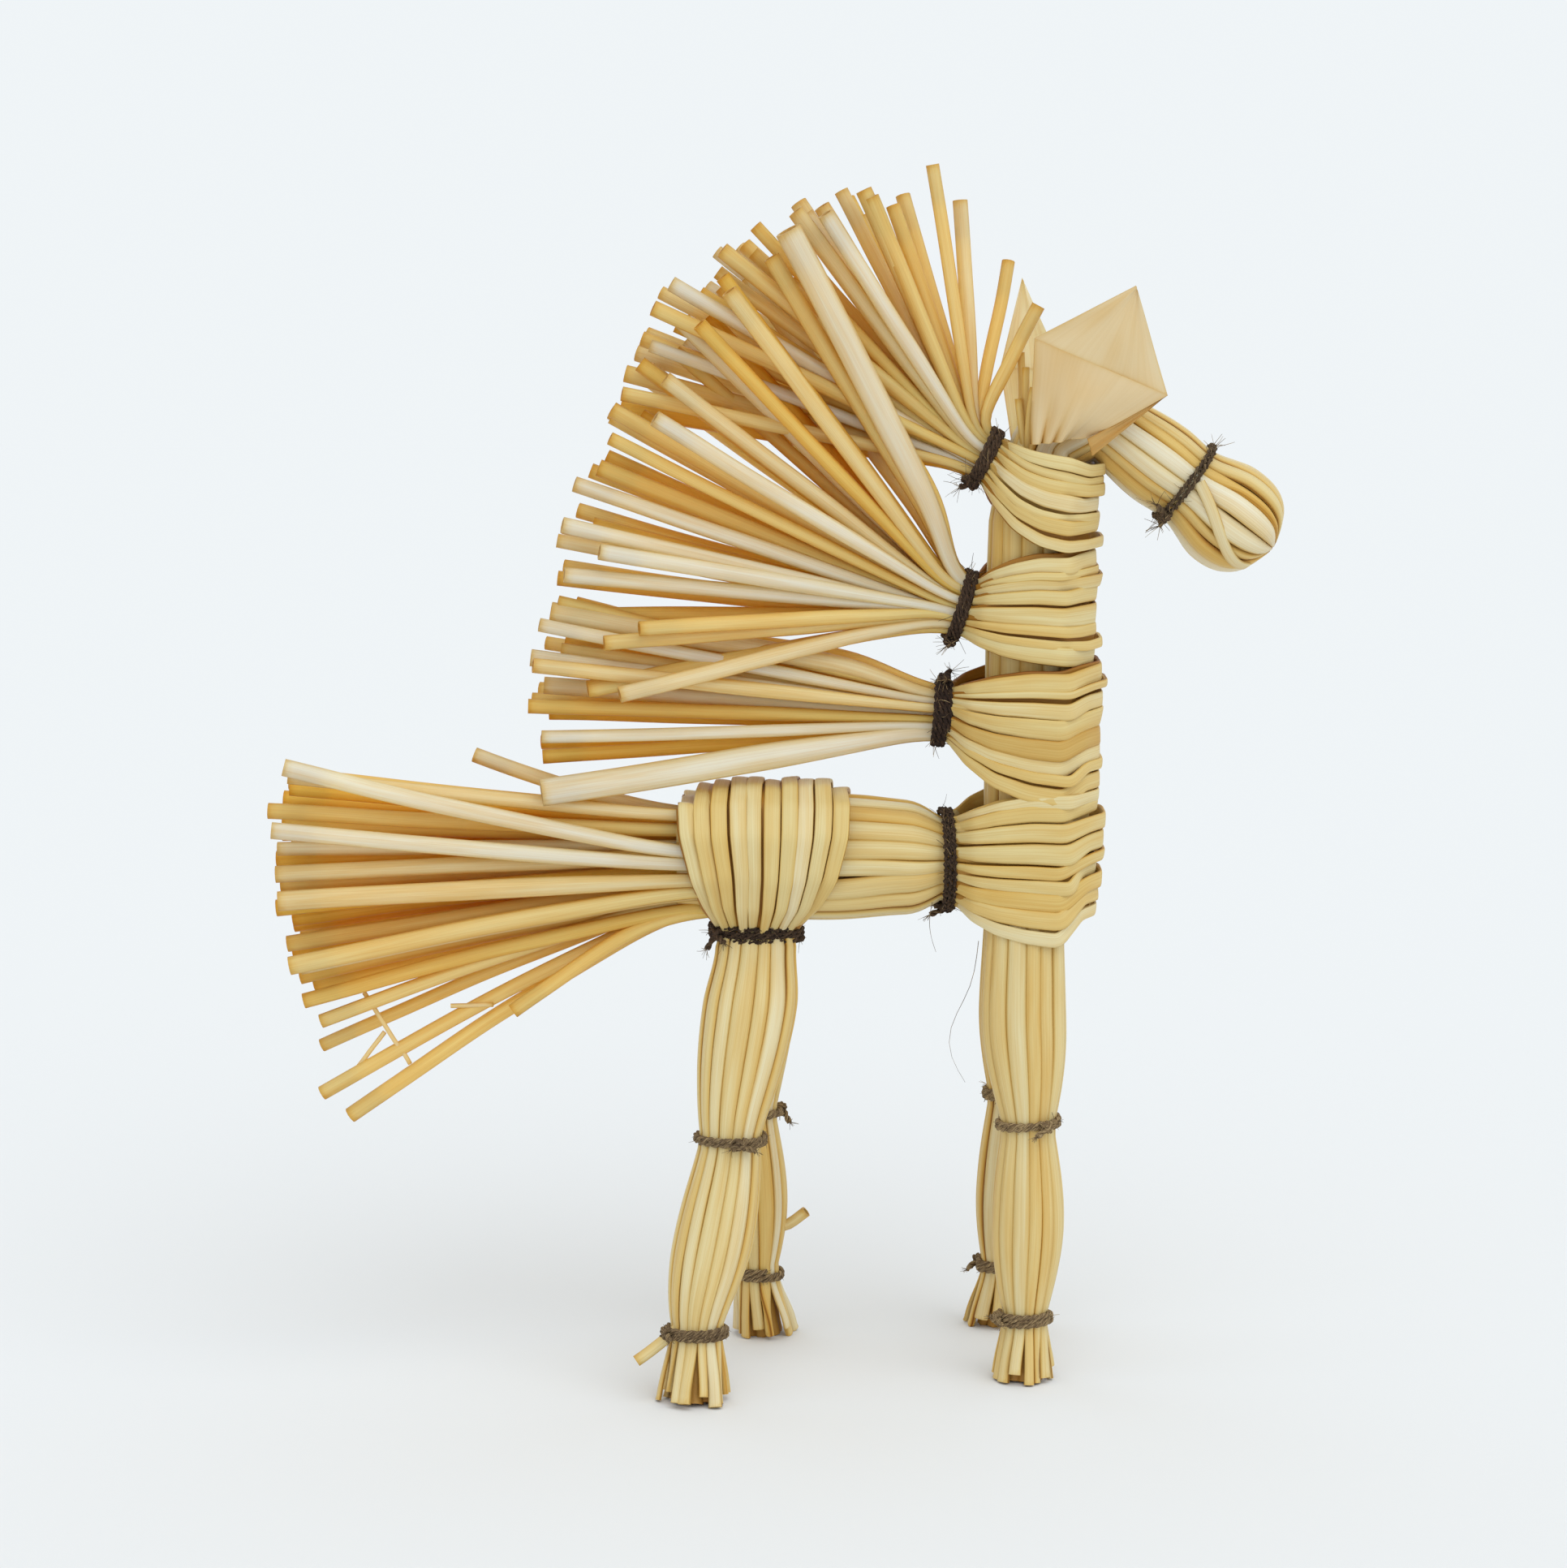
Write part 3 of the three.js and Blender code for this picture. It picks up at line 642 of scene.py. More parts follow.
def wrap_layer(weave, waist, crease, front, count, lift, tone):
    """Straws from the waist on the near side, round the front, to the waist on the far side."""
    waist_middle_x, waist_middle_z, waist_half, waist_depth, slope = waist
    slope = math.radians(slope)
    steps = np.linspace(-1, 1, count + 1)
    steps[1:-1] += rng.uniform(-0.32, 0.32, count - 1) * 2 / count
    for k in range(count):
        q = (steps[k] + steps[k + 1]) / 2
        size = (steps[k + 1] - steps[k]) / 2
        out = lift + rng.uniform(0, 0.5)
        proud = out + rng.choice(PROUD)
        side_y = WRAP_Y + out
        rise = rng.uniform(-0.4, 0.4)
        angle = q * WAIST_TURN
        waist_x = waist_middle_x - math.sin(slope) * math.sin(angle) * waist_half
        waist_y = -math.cos(angle) * waist_depth - 0.4
        waist_z = waist_middle_z + math.cos(slope) * math.sin(angle) * waist_half
        crease_x = crease[0] + rng.uniform(-1.0, 1.0)
        crease_z = crease[1] + q * crease[2] + rise
        front_z = front[1] + q * front[2] + rise
        near = [
            [waist_x + along * math.cos(slope), waist_y, waist_z + along * math.sin(slope)]
            for along in (-1.1, 0.8)
        ]
        widths = [waist_half * 0.85, waist_half * 0.85]
        for along, spread, depth in WRAP_RISE:
            x = waist_x + (crease_x - waist_x) * along
            near.append([x, waist_y + (-side_y - waist_y) * depth, waist_z + (crease_z - waist_z) * spread])
            widths.append(waist_half + (crease[2] - waist_half) * spread)
        near += [
            [crease_x, -side_y, crease_z - 0.3],
            [front[0] - 2.6 + proud, -side_y * 0.66, front_z + rng.uniform(-0.2, 0.2)],
            [front[0] + proud, -side_y * 0.30, front_z + 0.3],
        ]
        widths += [crease[2], front[2], front[2]]
        far = [[x, -y, z + 0.4] for x, y, z in near[::-1]]
        half_w = np.array(widths + widths[::-1]) * size * MM * rng.uniform(0.98, 1.10)
        shade = rng.normal(tone, 0.15)
        tilt = rng.normal(0.06, 0.06)
        ribbon(weave, mm(*near, *far), half_w, 0.32 * MM, shade, NECK_MIDDLE, Z_AXIS, 0.65 * MM, tilt)


def wraps():
    for name, shape in WRAPS.items():
        weave = Weave()
        wrap_layer(weave, **shape, tone=WRAP_TONE)
        # under each wrap a layer painted dark, as painted shade in its gaps
        under = dict(shape, count=shape["count"] - 1, lift=shape["lift"] - 1.3)
        wrap_layer(weave, **under, tone=UNDER_SHADE_TONE)
        weave.make("straws_" + name, wrapped, "wrapped_straw", name)


# ---- the rump: straws laid over the body from the belly tie ----
# height z, reach in y and in x
RUMP = [
    (71.2, 3.9, 6.2), (73.2, 4.2, 6.3), (77.6, 8.2, 9.6),
    (82.6, 10.5, 11.8), (89.6, 11.2, 13.6), (94.2, 8.9, 13.9),
]
RUMP_TOP = 97.6
BODY_MIDDLE = one_mm(0, 0, 84)
RUMP_LEAN = 1.2  # how much further forward the straws lie over the body than at the tie
RUMP_STRAWS = 10
# the second layer is painted dark, as painted shade in the gaps of the rump wrap
RUMP_LAYERS = [(0.0, WRAP_TONE), (-1.1, UNDER_SHADE_TONE)]  # lift and tone


def rump():
    weave = Weave()
    for layer, (lift, tone) in enumerate(RUMP_LAYERS):
        count = RUMP_STRAWS - layer
        for k in range(count):
            q = -1 + (2 * k + 1) / count
            out = lift + rng.uniform(-0.2, 0.4)
            top = RUMP_TOP - 2.2 * q**4 + rng.uniform(-0.9, 0.3) - 1.2 * (q < -0.7) + lift
            shift = rng.uniform(-0.3, 0.3)
            near = []
            for z, reach_y, reach_x in RUMP:
                held = max(0.0, 1 - (z - RUMP[0][0]) / 9)
                free = 1 - held
                angle = q * 1.35
                x = q * reach_x * free + math.sin(angle) * reach_x * held + shift * free
                y = reach_y * free + math.cos(angle) * reach_y * held
                forward = BELLY_TIE[0] + RUMP_LEAN * free
                near.append([forward + x, -y - out * free, z + rng.uniform(-0.4, 0.4)])
            near.append([-3.1 + q * 13.6 + shift, -5.0, top - 0.5])
            near.append([-3.1 + q * 13.4, 0.0, top])
            far = [[x + 0.4, -y, z] for x, y, z in near[-2::-1]]
            widths = [reach_x for _, _, reach_x in RUMP] + [13.6, 13.4]
            half_w = np.array(widths + widths[-2::-1]) / count * MM
            shade = rng.normal(tone, 0.15)
            tilt = rng.normal(0, 0.08)
            ribbon(weave, mm(*near, *far), half_w, 0.42 * MM, shade, BODY_MIDDLE, X_AXIS, 1.0 * MM, tilt)
    weave.make("straws_rump_wrap", wrapped, "wrapped_straw", "rump_wrap")


# ---- mane: a fan of straws behind each wrap ----
# tie: x, z. slope and half: of the bundle there, in degrees; half width and half height.
# rim: x, z of the cut ends, from the foremost to the last. foremost: its place in the tie.
# tufts: how often the straws crowd together along the rim. spread and side: of the cut ends, in y.
# twine: half width and half height of its tie, degrees from +Y to the knot, and tone.
FANS = {
    "mane_fan_top": dict(
        tie=(32.1, 149.3), slope=-29, half=(3, 3.8),
        rim=[
            (13.4, 191.8), (7, 190.8), (0, 188), (-6, 185.5),
            (-14, 180.5), (-19.6, 174.5), (-23.4, 166), (-26, 157),
        ],
        foremost=0.45, count=26, tufts=5, spread=10.5, side=2, tone=0.52,
        twine=(3.6, 4.3, -120, 0.16),
    ),
    "mane_fan_middle": dict(
        tie=(28.6, 125.7), slope=-18, half=(3.4, 4.4),
        rim=[(-9, 177), (-18, 168), (-25, 160.5), (-29.3, 152), (-33, 144), (-35, 137), (-35.5, 130)],
        foremost=0.9, count=29, tufts=6, spread=12.5, side=-1, tone=0.44,
        twine=(3.8, 5.1, -100, 0.1),
    ),
    "mane_fan_lower": dict(
        tie=(25.4, 108.3), slope=-5, half=(3.2, 4),
        rim=[(-35, 126.5), (-38.5, 123), (-39.9, 118), (-40.3, 112), (-39.2, 106), (-38.4, 101)],
        foremost=0.95, count=20, tufts=3, spread=12, side=0.5, tone=0.42,
        twine=(3.7, 4.7, 100, 0.04),
    ),
}
# straws that stand out of the rest: cut end x, z; its y; place in the tie; radius; tone; bow
FAN_EXTRAS = {
    "mane_fan_top": [
        ((36.1, 180.6), 6, 1, 1.05, 0.55), ((40.5, 173.4), -1, 1, 1.1, 0.6),
        ((28.2, 190), 3, 0.85, 1.2, 0.75), ((23.5, 195.2), -3, 0.75, 1.05, 0.62),
        ((19.2, 191.2), 8, 0.7, 1.2, 0.62), ((17.4, 189.3), 2, 0.62, 1.15, 0.5),
        ((12.6, 191.2), -4, 0.55, 1.3, 0.6), ((10.4, 190.6), 9, 0.5, 1.25, 0.4),
        ((6.5, 187.2), -11, 0.35, 1.3, 1), ((1.9, 187.6), -8, 0.2, 1.3, 0.7),
        ((-9.6, 181.8), -7, 0, 1.3, 0.6), ((-20.4, 172.9), -9, -0.3, 1.25, 0.55),
    ],
    "mane_fan_middle": [
        ((0.8, 184.6), -13, 0.98, 2.1, 0.9, 1.6), ((7, 172), -9, 1.1, 0.75, 0.5, 3),
        ((2, 178), 5, 1.05, 1.3, 0.45, 2), ((-2, 180.5), -9, 0.95, 1.35, 0.55, 1.2),
        ((-5.5, 178), 3, 0.95, 1.4, 0.7, 1), ((-8.4, 175.4), -14, 0.85, 1.35, 0.66),
        ((-20, 155.6), -14.5, 0.25, 1.3, 1), ((-28.8, 134.9), -13.5, -0.45, 1.3, 1),
        ((-34.4, 131.2), -12, -0.55, 1.25, 0.95), ((-22.6, 123), -14, -0.72, 1.2, 0.6),
        ((-30, 124.4), -4, -0.7, 1.3, 0.4), ((-28.2, 120.4), -12, -0.86, 1.2, 0.62),
        ((-25.8, 112.4), -13, -1, 1.3, 0.78, 0.8), ((-31, 113), -9, -1.15, 1.4, 0.55, 0.8),
    ],
    "mane_fan_lower": [
        ((-38.4, 96.5), -10, -1.1, 2.2, 1), ((-39.4, 117), -12.5, 0.3, 1.2, 0.7),
        ((-37, 125), -7, 0.8, 1.7, 0.75, 2), ((-34, 123.5), 4, 1.05, 1.2, 0.5, 2.8),
    ],
}
GOLDEN_ANGLE = 0.618034  # of a turn: its steps spread the straws evenly from side to side
UNEVEN_CUT = [-0.8, -0.2, 0.6, 1.8, 4.0]  # how far within the rim a straw may end
BOWED = 13  # how far from the tie a bowed straw arches


def rim_point(rim, share):
    rim = np.array(rim, float)
    runs = distances(rim)
    at = share * runs[-1]
    return np.array([np.interp(at, runs, rim[:, 0]), np.interp(at, runs, rim[:, 1])])


def depth_shading(layer):
    """Painted light: the straws on both sides of a fan (layer -1 and 1) are painted paler, as lit, those
    inside deep gold, as painted shade.
    """
    return 0.56 * abs(layer) - 0.28


def fan_frame(fan):
    slope = math.radians(fan["slope"])
    along = np.array([math.cos(slope), 0, math.sin(slope)])
    up = np.array([-math.sin(slope), 0, math.cos(slope)])
    return one_mm(fan["tie"][0], 0, fan["tie"][1]), along, up


def fan_straw(weave, fan, tip, y, share, radius, tone, bow=0.0):
    """share: 1 for the top of the tie, -1 for its foot. bow: how far the straw arches up near its root."""
    centre, along, up = fan_frame(fan)
    width, height = np.array(fan["half"]) * MM
    across = np.clip(y / 15, -1, 1)
    seat = centre + up * height * share * 0.86 * math.sqrt(1 - across * across / 2)
    seat = seat + Y_AXIS * width * 0.86 * across * math.sqrt(1 - share * share / 2)
    end = one_mm(tip[0], y, tip[1])
    lead = seat - along * 1.9 * MM
    reach = unit(end - lead)
    points = [seat + along * 2.4 * MM, lead, lead + (reach - along * 0.5) * 2.6 * MM, end]
    rounding = 1.9 * MM
    if bow:
        points[2] = lead + reach * BOWED * MM + np.cross(Y_AXIS, reach) * bow * MM
        rounding = 4.0 * MM
    root = min(max(0.72, radius * 0.55), radius * 0.6)
    loose_straw(weave, points, radius * MM, tone, root * MM, rounding)


def mane_fan(name):
    fan = FANS[name]
    weave = Weave()
    count = fan["count"]
    waves = fan["tufts"] * 2 * math.pi
    for k in range(count):
        share = (k + rng.uniform(0.15, 0.85)) / count
        share -= 0.9 * math.sin(share * waves) / waves
        tip = rim_point(fan["rim"], share)
        layer = 2 * ((k * GOLDEN_ANGLE + 0.2) % 1) - 1
        y = fan["side"] + layer * fan["spread"]
        inward = unit(np.array(fan["tie"]) - tip) * rng.choice(UNEVEN_CUT)
        tone = fan["tone"] + depth_shading(layer) + rng.normal(0, 0.15) + (0.4 if rng.uniform() < 0.2 else 0)
        place = fan["foremost"] - (1 + fan["foremost"]) * share
        fan_straw(weave, fan, tip + inward, y, place, rng.uniform(1.0, 1.4), tone)
    for extra in FAN_EXTRAS[name]:
        fan_straw(weave, fan, *extra)
    weave.make("straws_" + name, loose, "loose_straw", name)


# ---- the tail: the straws of the body, fanned out where the rump wrap lets them go ----
TAIL_RIM = [
    (-80.6, 99.6), (-82.4, 95), (-82.2, 89), (-82, 83),
    (-81.6, 77), (-80, 71.5), (-79.4, 66), (-77.2, 62),
]
TAIL_COUNT = 32
TAIL_SPREAD = 11.0
TAIL_ROOT = (92.4, 15.4)  # z of the highest root, and how much lower the lowest is
# cut end x, y, z; root z; radius; tone
TAIL_EXTRAS = [
    ((-78.8, -14, 101), 86.4, 1.4, 1), ((-80.8, -14.2, 91), 84.6, 1.35, 1),
    ((-80.1, -13.2, 79.6), 82.2, 1.6, 0.72), ((-78.6, -12.2, 69), 80.4, 1.5, 0.62),
    ((-50.2, 2, 101.2), 91.5, 1.25, 0.8), ((-74.7, -6, 58.9), 78.8, 1.15, 0.6),
    ((-75.7, 1, 53.4), 78.2, 1.1, 0.55), ((-75.1, -3, 46.4), 77.4, 1.2, 0.58),
    ((-70.8, -1, 42.2), 76.8, 1.3, 0.55), ((-43.6, -7, 60.6), 76.6, 1.2, 0.5),
]
LOWEST_TIPS = 65  # the straws that end lower sag a little
# broken splinters between the lowest straws
SPLINTERS = [
    [(-67.9, -4, 63.2), (-60.7, -3, 51.1)],
    [(-64.8, -3, 56.5), (-70.9, -2, 48.5)],
    [(-54, -3, 60.8), (-47, -4, 61.2)],
]


def tail_straw(weave, x, y, z, root_z, radius, tone, sag=0.0):
    root_y = np.clip(y * 0.58, -8, 8)
    points = mm(
        [-8.0, root_y, root_z * 0.98 + 1.7],
        [-16.0, root_y * 1.03, root_z],
        [-22.0, root_y * 1.06 + (y - root_y) * 0.06, root_z + (z - root_z) * 0.085 - sag * 0.4],
        [(-22.0 + x) / 2, (root_y + y) / 2, (root_z + z) / 2 - sag],
        [x, y, z],
    )
    root = min(1.1, radius * 0.85)
    loose_straw(weave, points, radius * MM, tone, root * MM, rounding=7 * MM, root_flat=0.5)


def tail():
    weave = Weave()
    for k in range(TAIL_COUNT):
        share = (k + rng.uniform(0.2, 0.8)) / TAIL_COUNT
        x, z = rim_point(TAIL_RIM, share) + np.array([abs(rng.normal(0, 1.3)), 0])
        layer = 2 * ((k * GOLDEN_ANGLE) % 1) - 1
        tone = 0.42 + depth_shading(layer) + rng.normal(0, 0.18)
        root_z = TAIL_ROOT[0] - TAIL_ROOT[1] * share
        tail_straw(weave, x, layer * TAIL_SPREAD, z, root_z, rng.uniform(1.05, 1.5), tone)
    for (x, y, z), root_z, radius, tone in TAIL_EXTRAS:
        tail_straw(weave, x, y, z, root_z, radius, tone, sag=0.3 if z < LOWEST_TIPS else 0.0)
    for points in SPLINTERS:
        loose_straw(weave, mm(*points), 0.38 * MM, 0.7, 0.38 * MM, rounding=1 * MM, hollow=False)
    weave.make("straws_tail_fan", loose, "loose_straw", "tail_fan")


# ---- ears: a wide straw pressed to a ribbon and folded to a point, gathered at its foot ----
EAR_THICK = 0.45 * MM
EAR_CELLS = 32
# foot at the back, foot at the front, right, top and left corner; the fold runs from left to right
NEAR_EAR = [
    (38.8, -8.8, 151.6), (48.6, -10.4, 149.6), (60, -11.2, 159.2), (55.2, -8, 176.2), (39.2, -10.2, 168),
]
FAR_EAR = [
    (37, 8.4, 151.6), (45.8, 9.6, 149.6), (45.6, 11.4, 163), (38.6, 9.8, 178), (35.2, 10, 163.6),
]
# painted shade: the lip rolled in under the front of the ear is painted dark orange-brown, as its shaded
# underside
LIP_SHADE_TONE = 0.16


def ear_panel(corners, outward, bulge, pleats, roll, tone, seed):
    """A thin closed sheet between four corners: foot at the back, foot at the front, then its upper two.
    Its foot is gathered in pleats at the back and rolled in at the front."""
    shares = np.linspace(0, 1, EAR_CELLS)
    u, v = np.meshgrid(shares, shares, indexing="ij")
    back, front, upper_front, upper_back = corners
    face = (
        back * ((1 - u) * (1 - v))[..., None]
        + front * (u * (1 - v))[..., None]
        + upper_front * (u * v)[..., None]
        + upper_back * ((1 - u) * v)[..., None]
    )
    gathered = smooth((0.72 - u) / 0.2)
    rise = np.sin(u * math.pi) * np.sin(v * math.pi) * bulge
    rise = rise + np.sin(u * 8 + seed) * np.sin(v * 6 + seed * 2) * 0.22 * MM
    rise = rise + np.sin(u * 21 + seed) * 0.04 * MM
    rise = rise + np.abs(np.sin(u * pleats * math.pi)) * gathered * (1 - v) ** 2 * 1.1 * MM
    rise = rise - (1 - gathered) * (1 - smooth(v / 0.5)) ** 2 * roll
    face = face + outward * rise[..., None]
    points = np.concatenate([face.reshape(-1, 3), (face - outward * EAR_THICK).reshape(-1, 3)])

    cells = EAR_CELLS * EAR_CELLS
    index = np.arange(cells).reshape(EAR_CELLS, EAR_CELLS)
    quads = np.stack([index[:-1, :-1], index[1:, :-1], index[1:, 1:], index[:-1, 1:]], axis=-1)
    quads = quads.reshape(-1, 4)
    rim = np.concatenate([index[:, 0], index[-1, 1:], index[-2::-1, -1], index[0, -2:0:-1]])
    following = np.roll(rim, -1)
    sides = np.stack([rim, rim + cells, following + cells, following], axis=1)
    faces = [tuple(f) for f in quads] + [tuple(f[::-1] + cells) for f in quads] + [tuple(f) for f in sides]

    place = np.stack([v * 14 * MM, u * 9 * MM, np.full_like(u, seed)], axis=-1).reshape(-1, 3)
    # painted shade: dark lines in the gaps between the pleats of the foot and along the borders of each
    # panel, at the fold
    pleat_shade = np.abs(np.cos(u * pleats * math.pi)) ** 8 * (1 - v) ** 3 * gathered * min(pleats, 1)
    border_shade = np.maximum((2 * u - 1) ** 24, (2 * v - 1) ** 24) * 0.45
    edge_shade = np.maximum(pleat_shade, border_shade).ravel()
    traits = (np.concatenate([place, place]), np.full(2 * cells, tone), np.concatenate([edge_shade, edge_shade]))
    return points, faces, traits


def ear(name, corners, outward, pleats, tones, material):
    """tones: of its inside below the fold, and of the part above the fold."""
    foot_back, foot_front, right, top, left = mm(*corners)
    inward = -outward * MM
    inner = foot_front + (left - foot_front) * 0.13 + (right - foot_front) * 0.03
    lip = [inner + inward * 0.7, foot_front + inward * 1.2, right + inward * 0.3, right + inward * 0.1]
    upper = [left + inward * 0.2, right + inward * 0.2, top + (right - top) * 0.05, top]
    panels = [
        ear_panel((foot_back, inner, right, left), outward, 1.0 * MM, pleats, 1.8 * MM, tones[0], 1.3),
        ear_panel(upper, outward, 0.25 * MM, 0, 0.0, tones[1], 2.9),
        ear_panel(lip, outward, 0.1 * MM, 0, 0.0, LIP_SHADE_TONE, 4.2),
    ]
    points, faces, traits = [], [], []
    offset = 0
    for panel_points, panel_faces, panel_traits in panels:
        points.append(panel_points)
        faces += [tuple(i + offset for i in f) for f in panel_faces]
        traits.append(panel_traits)
        offset += len(panel_points)
    traits = [np.concatenate(column) for column in zip(*traits)]
    make_piece("folded_" + name, np.concatenate(points), faces, traits, material, (name,))


def ears():
    near_out = unit(np.array([0.05, -1.0, -0.12]))
    ear("ear_near", NEAR_EAR, near_out, 5, (0.66, 0.78), split)
    far_out = unit(np.array([0.05, 1.0, -0.12]))
    # painted light: the far ear lies in shade and is painted in the palest tones of the loose straw, to
    # stand in for the light that glows through it
    ear("ear_far", FAR_EAR, far_out, 4, (0.95, 1.0), loose)


# ---- twine ----
# long hairs that hang from the chest tie
CHEST_HAIRS = [
    [(31.4, -6, 72.0), (30.6, -7, 65.0), (26.4, -7, 58.0), (26.2, -7, 54.0), (29.4, -6, 48.8)],
    [(24, -4, 78), (22.8, -5, 74), (24.6, -5, 70)],
]
MANY_TURNS = 3.3  # of the twine round the thick ties
END_HAIRS = 9  # that fray out of each end of the twine


def twine_rope(weave, path, radial, axial, tone):
    """Two twisted strands along a path. radial and axial: directions across it."""
    runs = distances(path)
    for strand in (0, 1):
        turn = runs / STRAND_PITCH * 2 * math.pi + strand * math.pi
        offset = radial * np.cos(turn)[:, None] + axial * np.sin(turn)[:, None]
        line = path + offset * STRAND * 0.78
        side, out = frames(line, offset)
        size = STRAND * (1 + wander(len(line), 0.12, 9.0))
        weave.sweep(line, side, out, size, size, tone + rng.uniform(-0.12, 0.12), sides=8)


def hair(weave, points, tone):
    path = rounded(points, step=np.linalg.norm(points[-1] - points[0]) / 9, rounding=0.4 * MM)
    side, out = frames(path, unit(rng.normal(0, 1, 3)))
    size = HAIR * (1 - 0.5 * np.linspace(0, 1, len(path)))
    weave.sweep(path, side, out, size, size, tone, sides=4)


def stray_hair(weave, start, direction, length):
    bend = unit(rng.normal(0, 1, 3)) * length * rng.uniform(0.1, 0.5)
    t = np.linspace(0, 1, 7)[:, None]
    hair(weave, start + direction * length * t + bend * t * t, rng.uniform(0.4, 1.0))


def knot(weave, seat, along, outward, tone, reach):
    """Two crossing loops and two frayed ends. seat: its middle."""
    across = np.cross(along, outward)
    loop = np.linspace(0, 2 * math.pi, 26)
    cos, sin = np.cos(loop)[:, None], np.sin(loop)[:, None]
    for lean in (-0.5, 0.5):
        plane = unit(along + across * lean)
        line = seat + (plane * cos * 0.85 + outward * sin * 0.55 + across * lean * cos * 0.5) * MM
        twine_rope(weave, line, outward * cos + plane * sin, across, tone)
    for sign in (-1, 1):
        lie = unit(along * rng.uniform(-1, 0.2) + across * sign * 0.8 + outward * 0.25)
        length = rng.uniform(1.6, 3.0) * MM
        drop = along * rng.uniform(-0.8, 0.8) * MM
        line = rounded([seat, seat + lie * length * 0.5, seat + lie * length + drop], 0.3 * MM, 0.5 * MM)
        side, out = frames(line, outward)
        twine_rope(weave, line, side, out, tone + 0.1)
        for _ in range(END_HAIRS):
            direction = unit(lie + rng.normal(0, 0.5, 3))
            stray_hair(weave, line[-1], direction, rng.uniform(0.5, 0.9) * reach * MM)


def tie(name, centre, half, a, b, knot_place, tone, reach, hairs=36, turns=2.4, long_hairs=()):
    """Twine round an oval. a and b: the directions of its two half widths. knot_place: in degrees from a.
    tone: from nearly black to grey. reach: of its hairs, in mm."""
    weave = Weave()
    along = np.cross(a, b)
    tilt = rng.normal(0, 0.035)
    steps = int(54 * turns)
    place = math.radians(knot_place)
    turn = np.linspace(0, turns * 2 * math.pi, steps) + place
    cos, sin = np.cos(turn)[:, None], np.sin(turn)[:, None]
    rise = np.linspace(-0.5, 0.5, steps)[:, None] * (turns - 1) * TURN_PITCH
    rise = rise + tilt * cos * half[0] + wander(steps, 0.14 * MM, 6.0)[:, None]
    radial = unit(a * cos / half[0] + b * sin / half[1])
    stand_off = STRAND * 1.3 + wander(steps, 0.05 * MM, 8.0)[:, None]
    path = centre + a * cos * (half[0] + stand_off) + b * sin * (half[1] + stand_off) + along * rise
    twine_rope(weave, path, radial, along, tone)

    outward = unit(a * math.cos(place) * half[1] + b * math.sin(place) * half[0])
    seat = centre + a * math.cos(place) * half[0] + b * math.sin(place) * half[1] + outward * MM
    knot(weave, seat, along, outward, tone, reach)
    for _ in range(hairs):
        i = rng.integers(0, steps)
        direction = radial[i] * rng.uniform(0.2, 1.0) + along * rng.normal(0, 0.7) + rng.normal(0, 0.5, 3)
        stray_hair(weave, path[i], unit(direction), rng.uniform(0.3, 1.0) ** 1.5 * reach * MM)
    for points in long_hairs:
        hair(weave, rounded(mm(*points), 1 * MM, 3 * MM), 0.5)
    weave.make("twine_" + name, linen, "twine", name)


def ties(leg_ties):
    for leg, (knee, ankle) in leg_ties.items():
        *_, knee_knot, ankle_knot, grey = LEGS[leg]
        knee_name, ankle_name = leg.replace("leg", "knee_tie"), leg.replace("leg", "ankle_tie")
        tie(knee_name, knee[:3], knee[3:], X_AXIS, Y_AXIS, knee_knot, grey, 1.7)
        tie(ankle_name, ankle[:3], ankle[3:], X_AXIS, Y_AXIS, ankle_knot, grey - 0.1, 1.5)
    snout = POLL + head_along * SNOUT_TIE * MM
    tie("snout_tie", snout, one_mm(6.75, 6.75), Y_AXIS, head_up, -125, 0.45, 3.6, 70)
    for name, fan in FANS.items():
        width, height, knot_place, grey = fan["twine"]
        middle, _, up = fan_frame(fan)
        name = name.replace("fan", "tie")
        tie(name, middle, one_mm(width, height), Y_AXIS, up, knot_place, grey, 3.4, 60, MANY_TURNS)
    chest = one_mm(CHEST_TIE[0], 0, CHEST_TIE[1])
    tie("chest_tie", chest, one_mm(6.1, 7.6), Y_AXIS, Z_AXIS, -75, 0.22, 2.6, 60, MANY_TURNS, CHEST_HAIRS)
    belly = one_mm(BELLY_TIE[0], 0, BELLY_TIE[1])
    tie("belly_tie", belly, one_mm(7.0, 4.7), X_AXIS, Y_AXIS, 215, 0.24, 2.2, 50, MANY_TURNS)


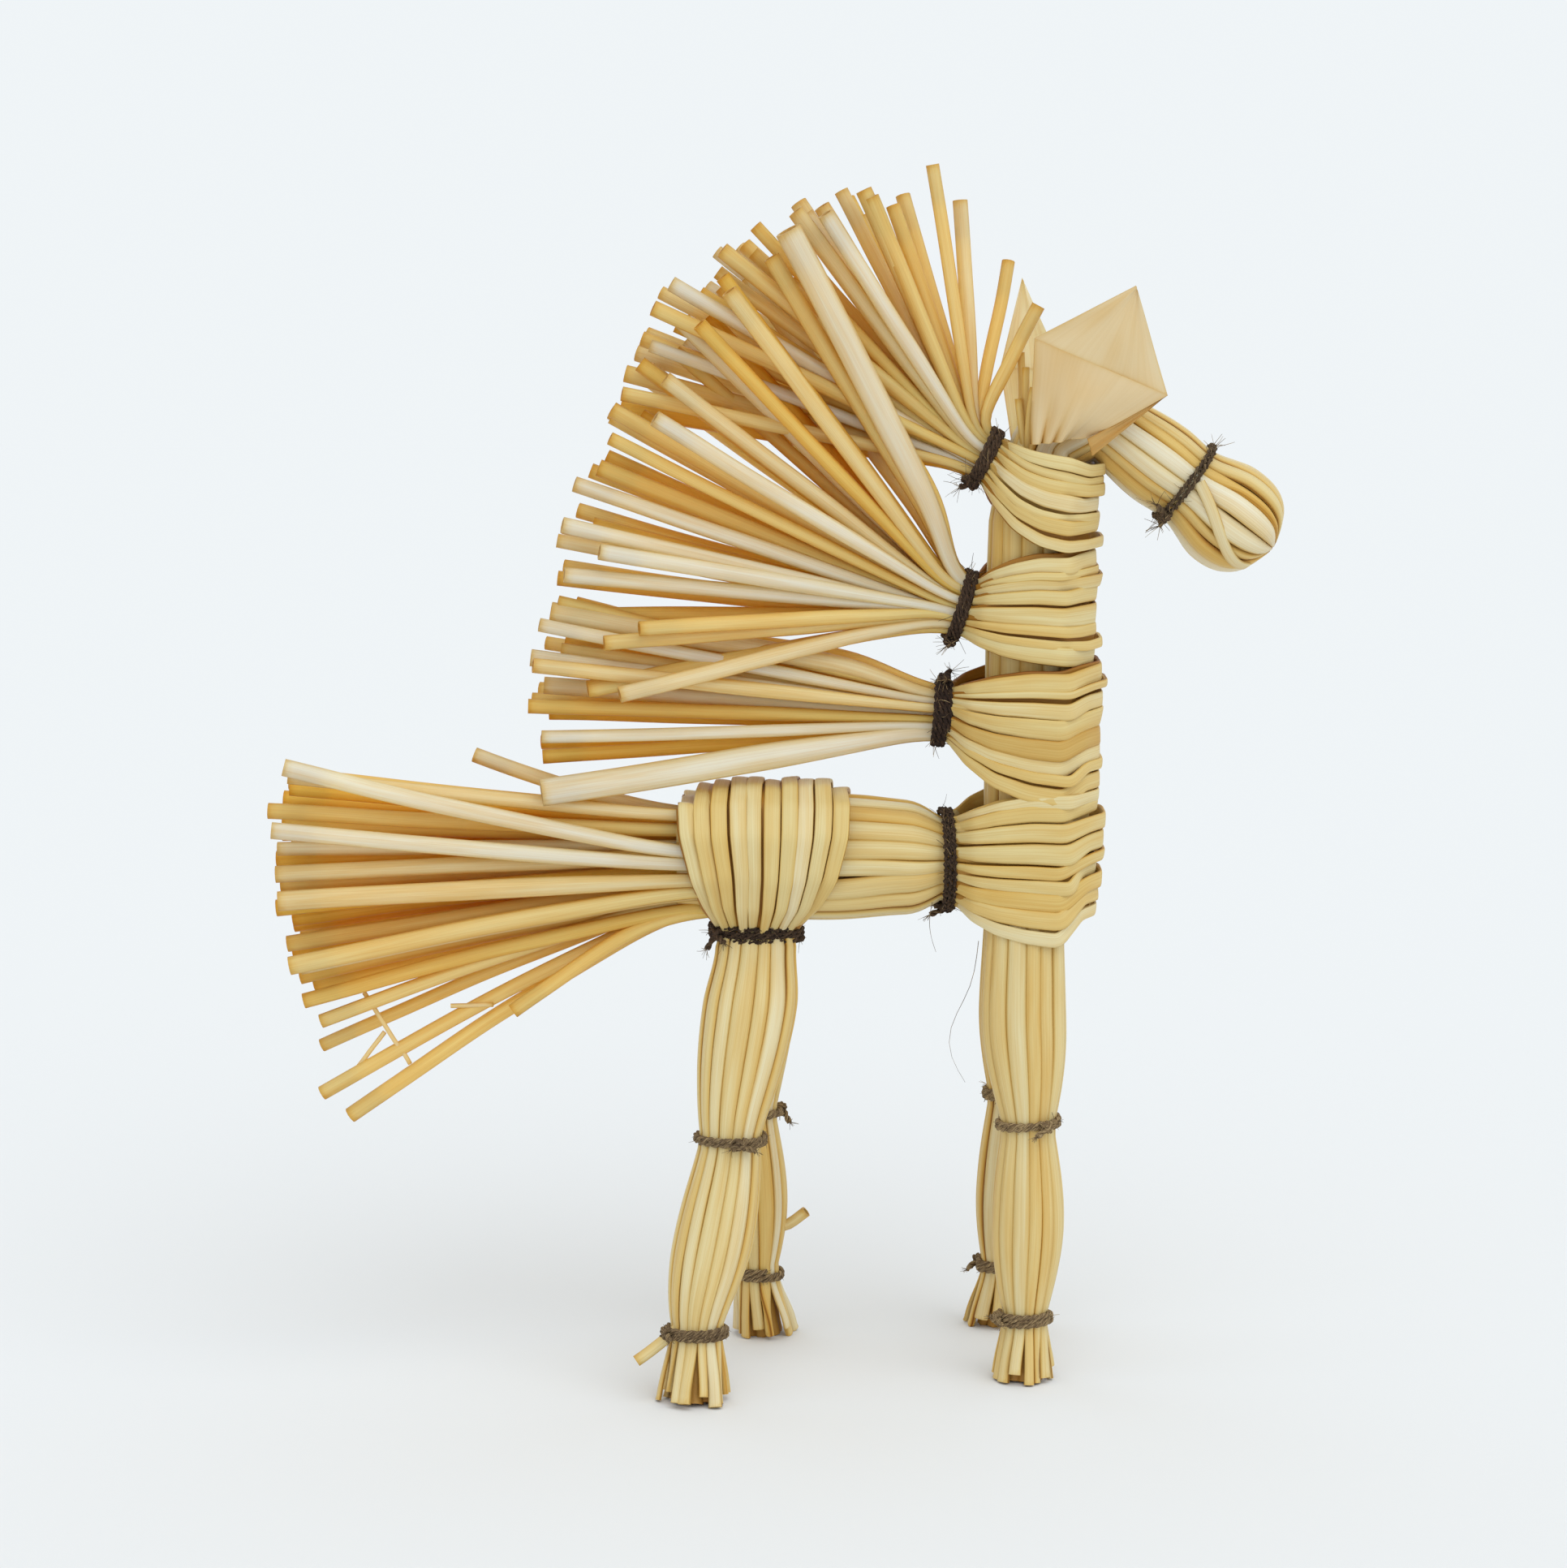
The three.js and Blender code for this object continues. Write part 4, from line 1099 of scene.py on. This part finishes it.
# ---- camera, floor and light ----
CAMERA_PLACE = one_mm(0.0, -522.0, 160.8) + CENTRE_SHIFT
CAMERA_PITCH = math.radians(7.0)
LENS = 74.6
SKY = (0.868, 0.908, 0.930)
FLOOR_SHARE = 0.80  # of the light that the floor gives back
FLOOR_REACH = 8.0
SUN_HEIGHT = math.radians(52)
SUN_SIDE = math.radians(28)  # towards the head from the camera's side
SUN_WIDTH = math.radians(64)


def place_camera():
    data = bpy.data.cameras.new("camera")
    data.lens = LENS
    camera = add_object("camera", data)
    camera.location = CAMERA_PLACE
    camera.rotation_euler = (math.pi / 2 - CAMERA_PITCH, 0, 0)
    bpy.context.scene.camera = camera


def lay_floor():
    material, _, shader = new_material("pale_floor", 1.0)
    shader.inputs["Base Color"].default_value = (FLOOR_SHARE, FLOOR_SHARE, FLOOR_SHARE, 1)
    shader.inputs["Specular IOR Level"].default_value = 0.0
    mesh = bpy.data.meshes.new("floor")
    corners = [(x * FLOOR_REACH, y * FLOOR_REACH, 0) for x, y in ((-1, -1), (1, -1), (1, 1), (-1, 1))]
    mesh.from_pydata(corners, [], [(0, 1, 2, 3)])
    mesh.materials.append(material)
    floor = add_object("floor", mesh)


def light_studio():
    """Sky and floor come out equally bright, with no line between them: the sun makes up for the light that
    the floor doesn't give back."""
    data = bpy.data.lights.new("sun", "SUN")
    data.energy = math.pi * max(SKY) * (1 - FLOOR_SHARE) / FLOOR_SHARE / math.sin(SUN_HEIGHT)
    data.color = [c / max(SKY) for c in SKY]
    data.angle = SUN_WIDTH
    sun = add_object("sun", data)
    sun.rotation_euler = (math.pi / 2 - SUN_HEIGHT, 0, SUN_SIDE)
    world = bpy.data.worlds.new("studio")
    world.use_nodes = True
    background = world.node_tree.nodes["Background"]
    background.inputs["Color"].default_value = (*SKY, 1)
    bpy.context.scene.world = world
    bpy.context.scene.view_settings.view_transform = "Standard"


# ---- the horse: the pieces take their random draws in this order ----
leg_ties = legs()
body()
neck()
head()
wraps()
rump()
for fan_name in FANS:
    mane_fan(fan_name)
tail()
ears()
ties(leg_ties)
place_camera()
lay_floor()
light_studio()
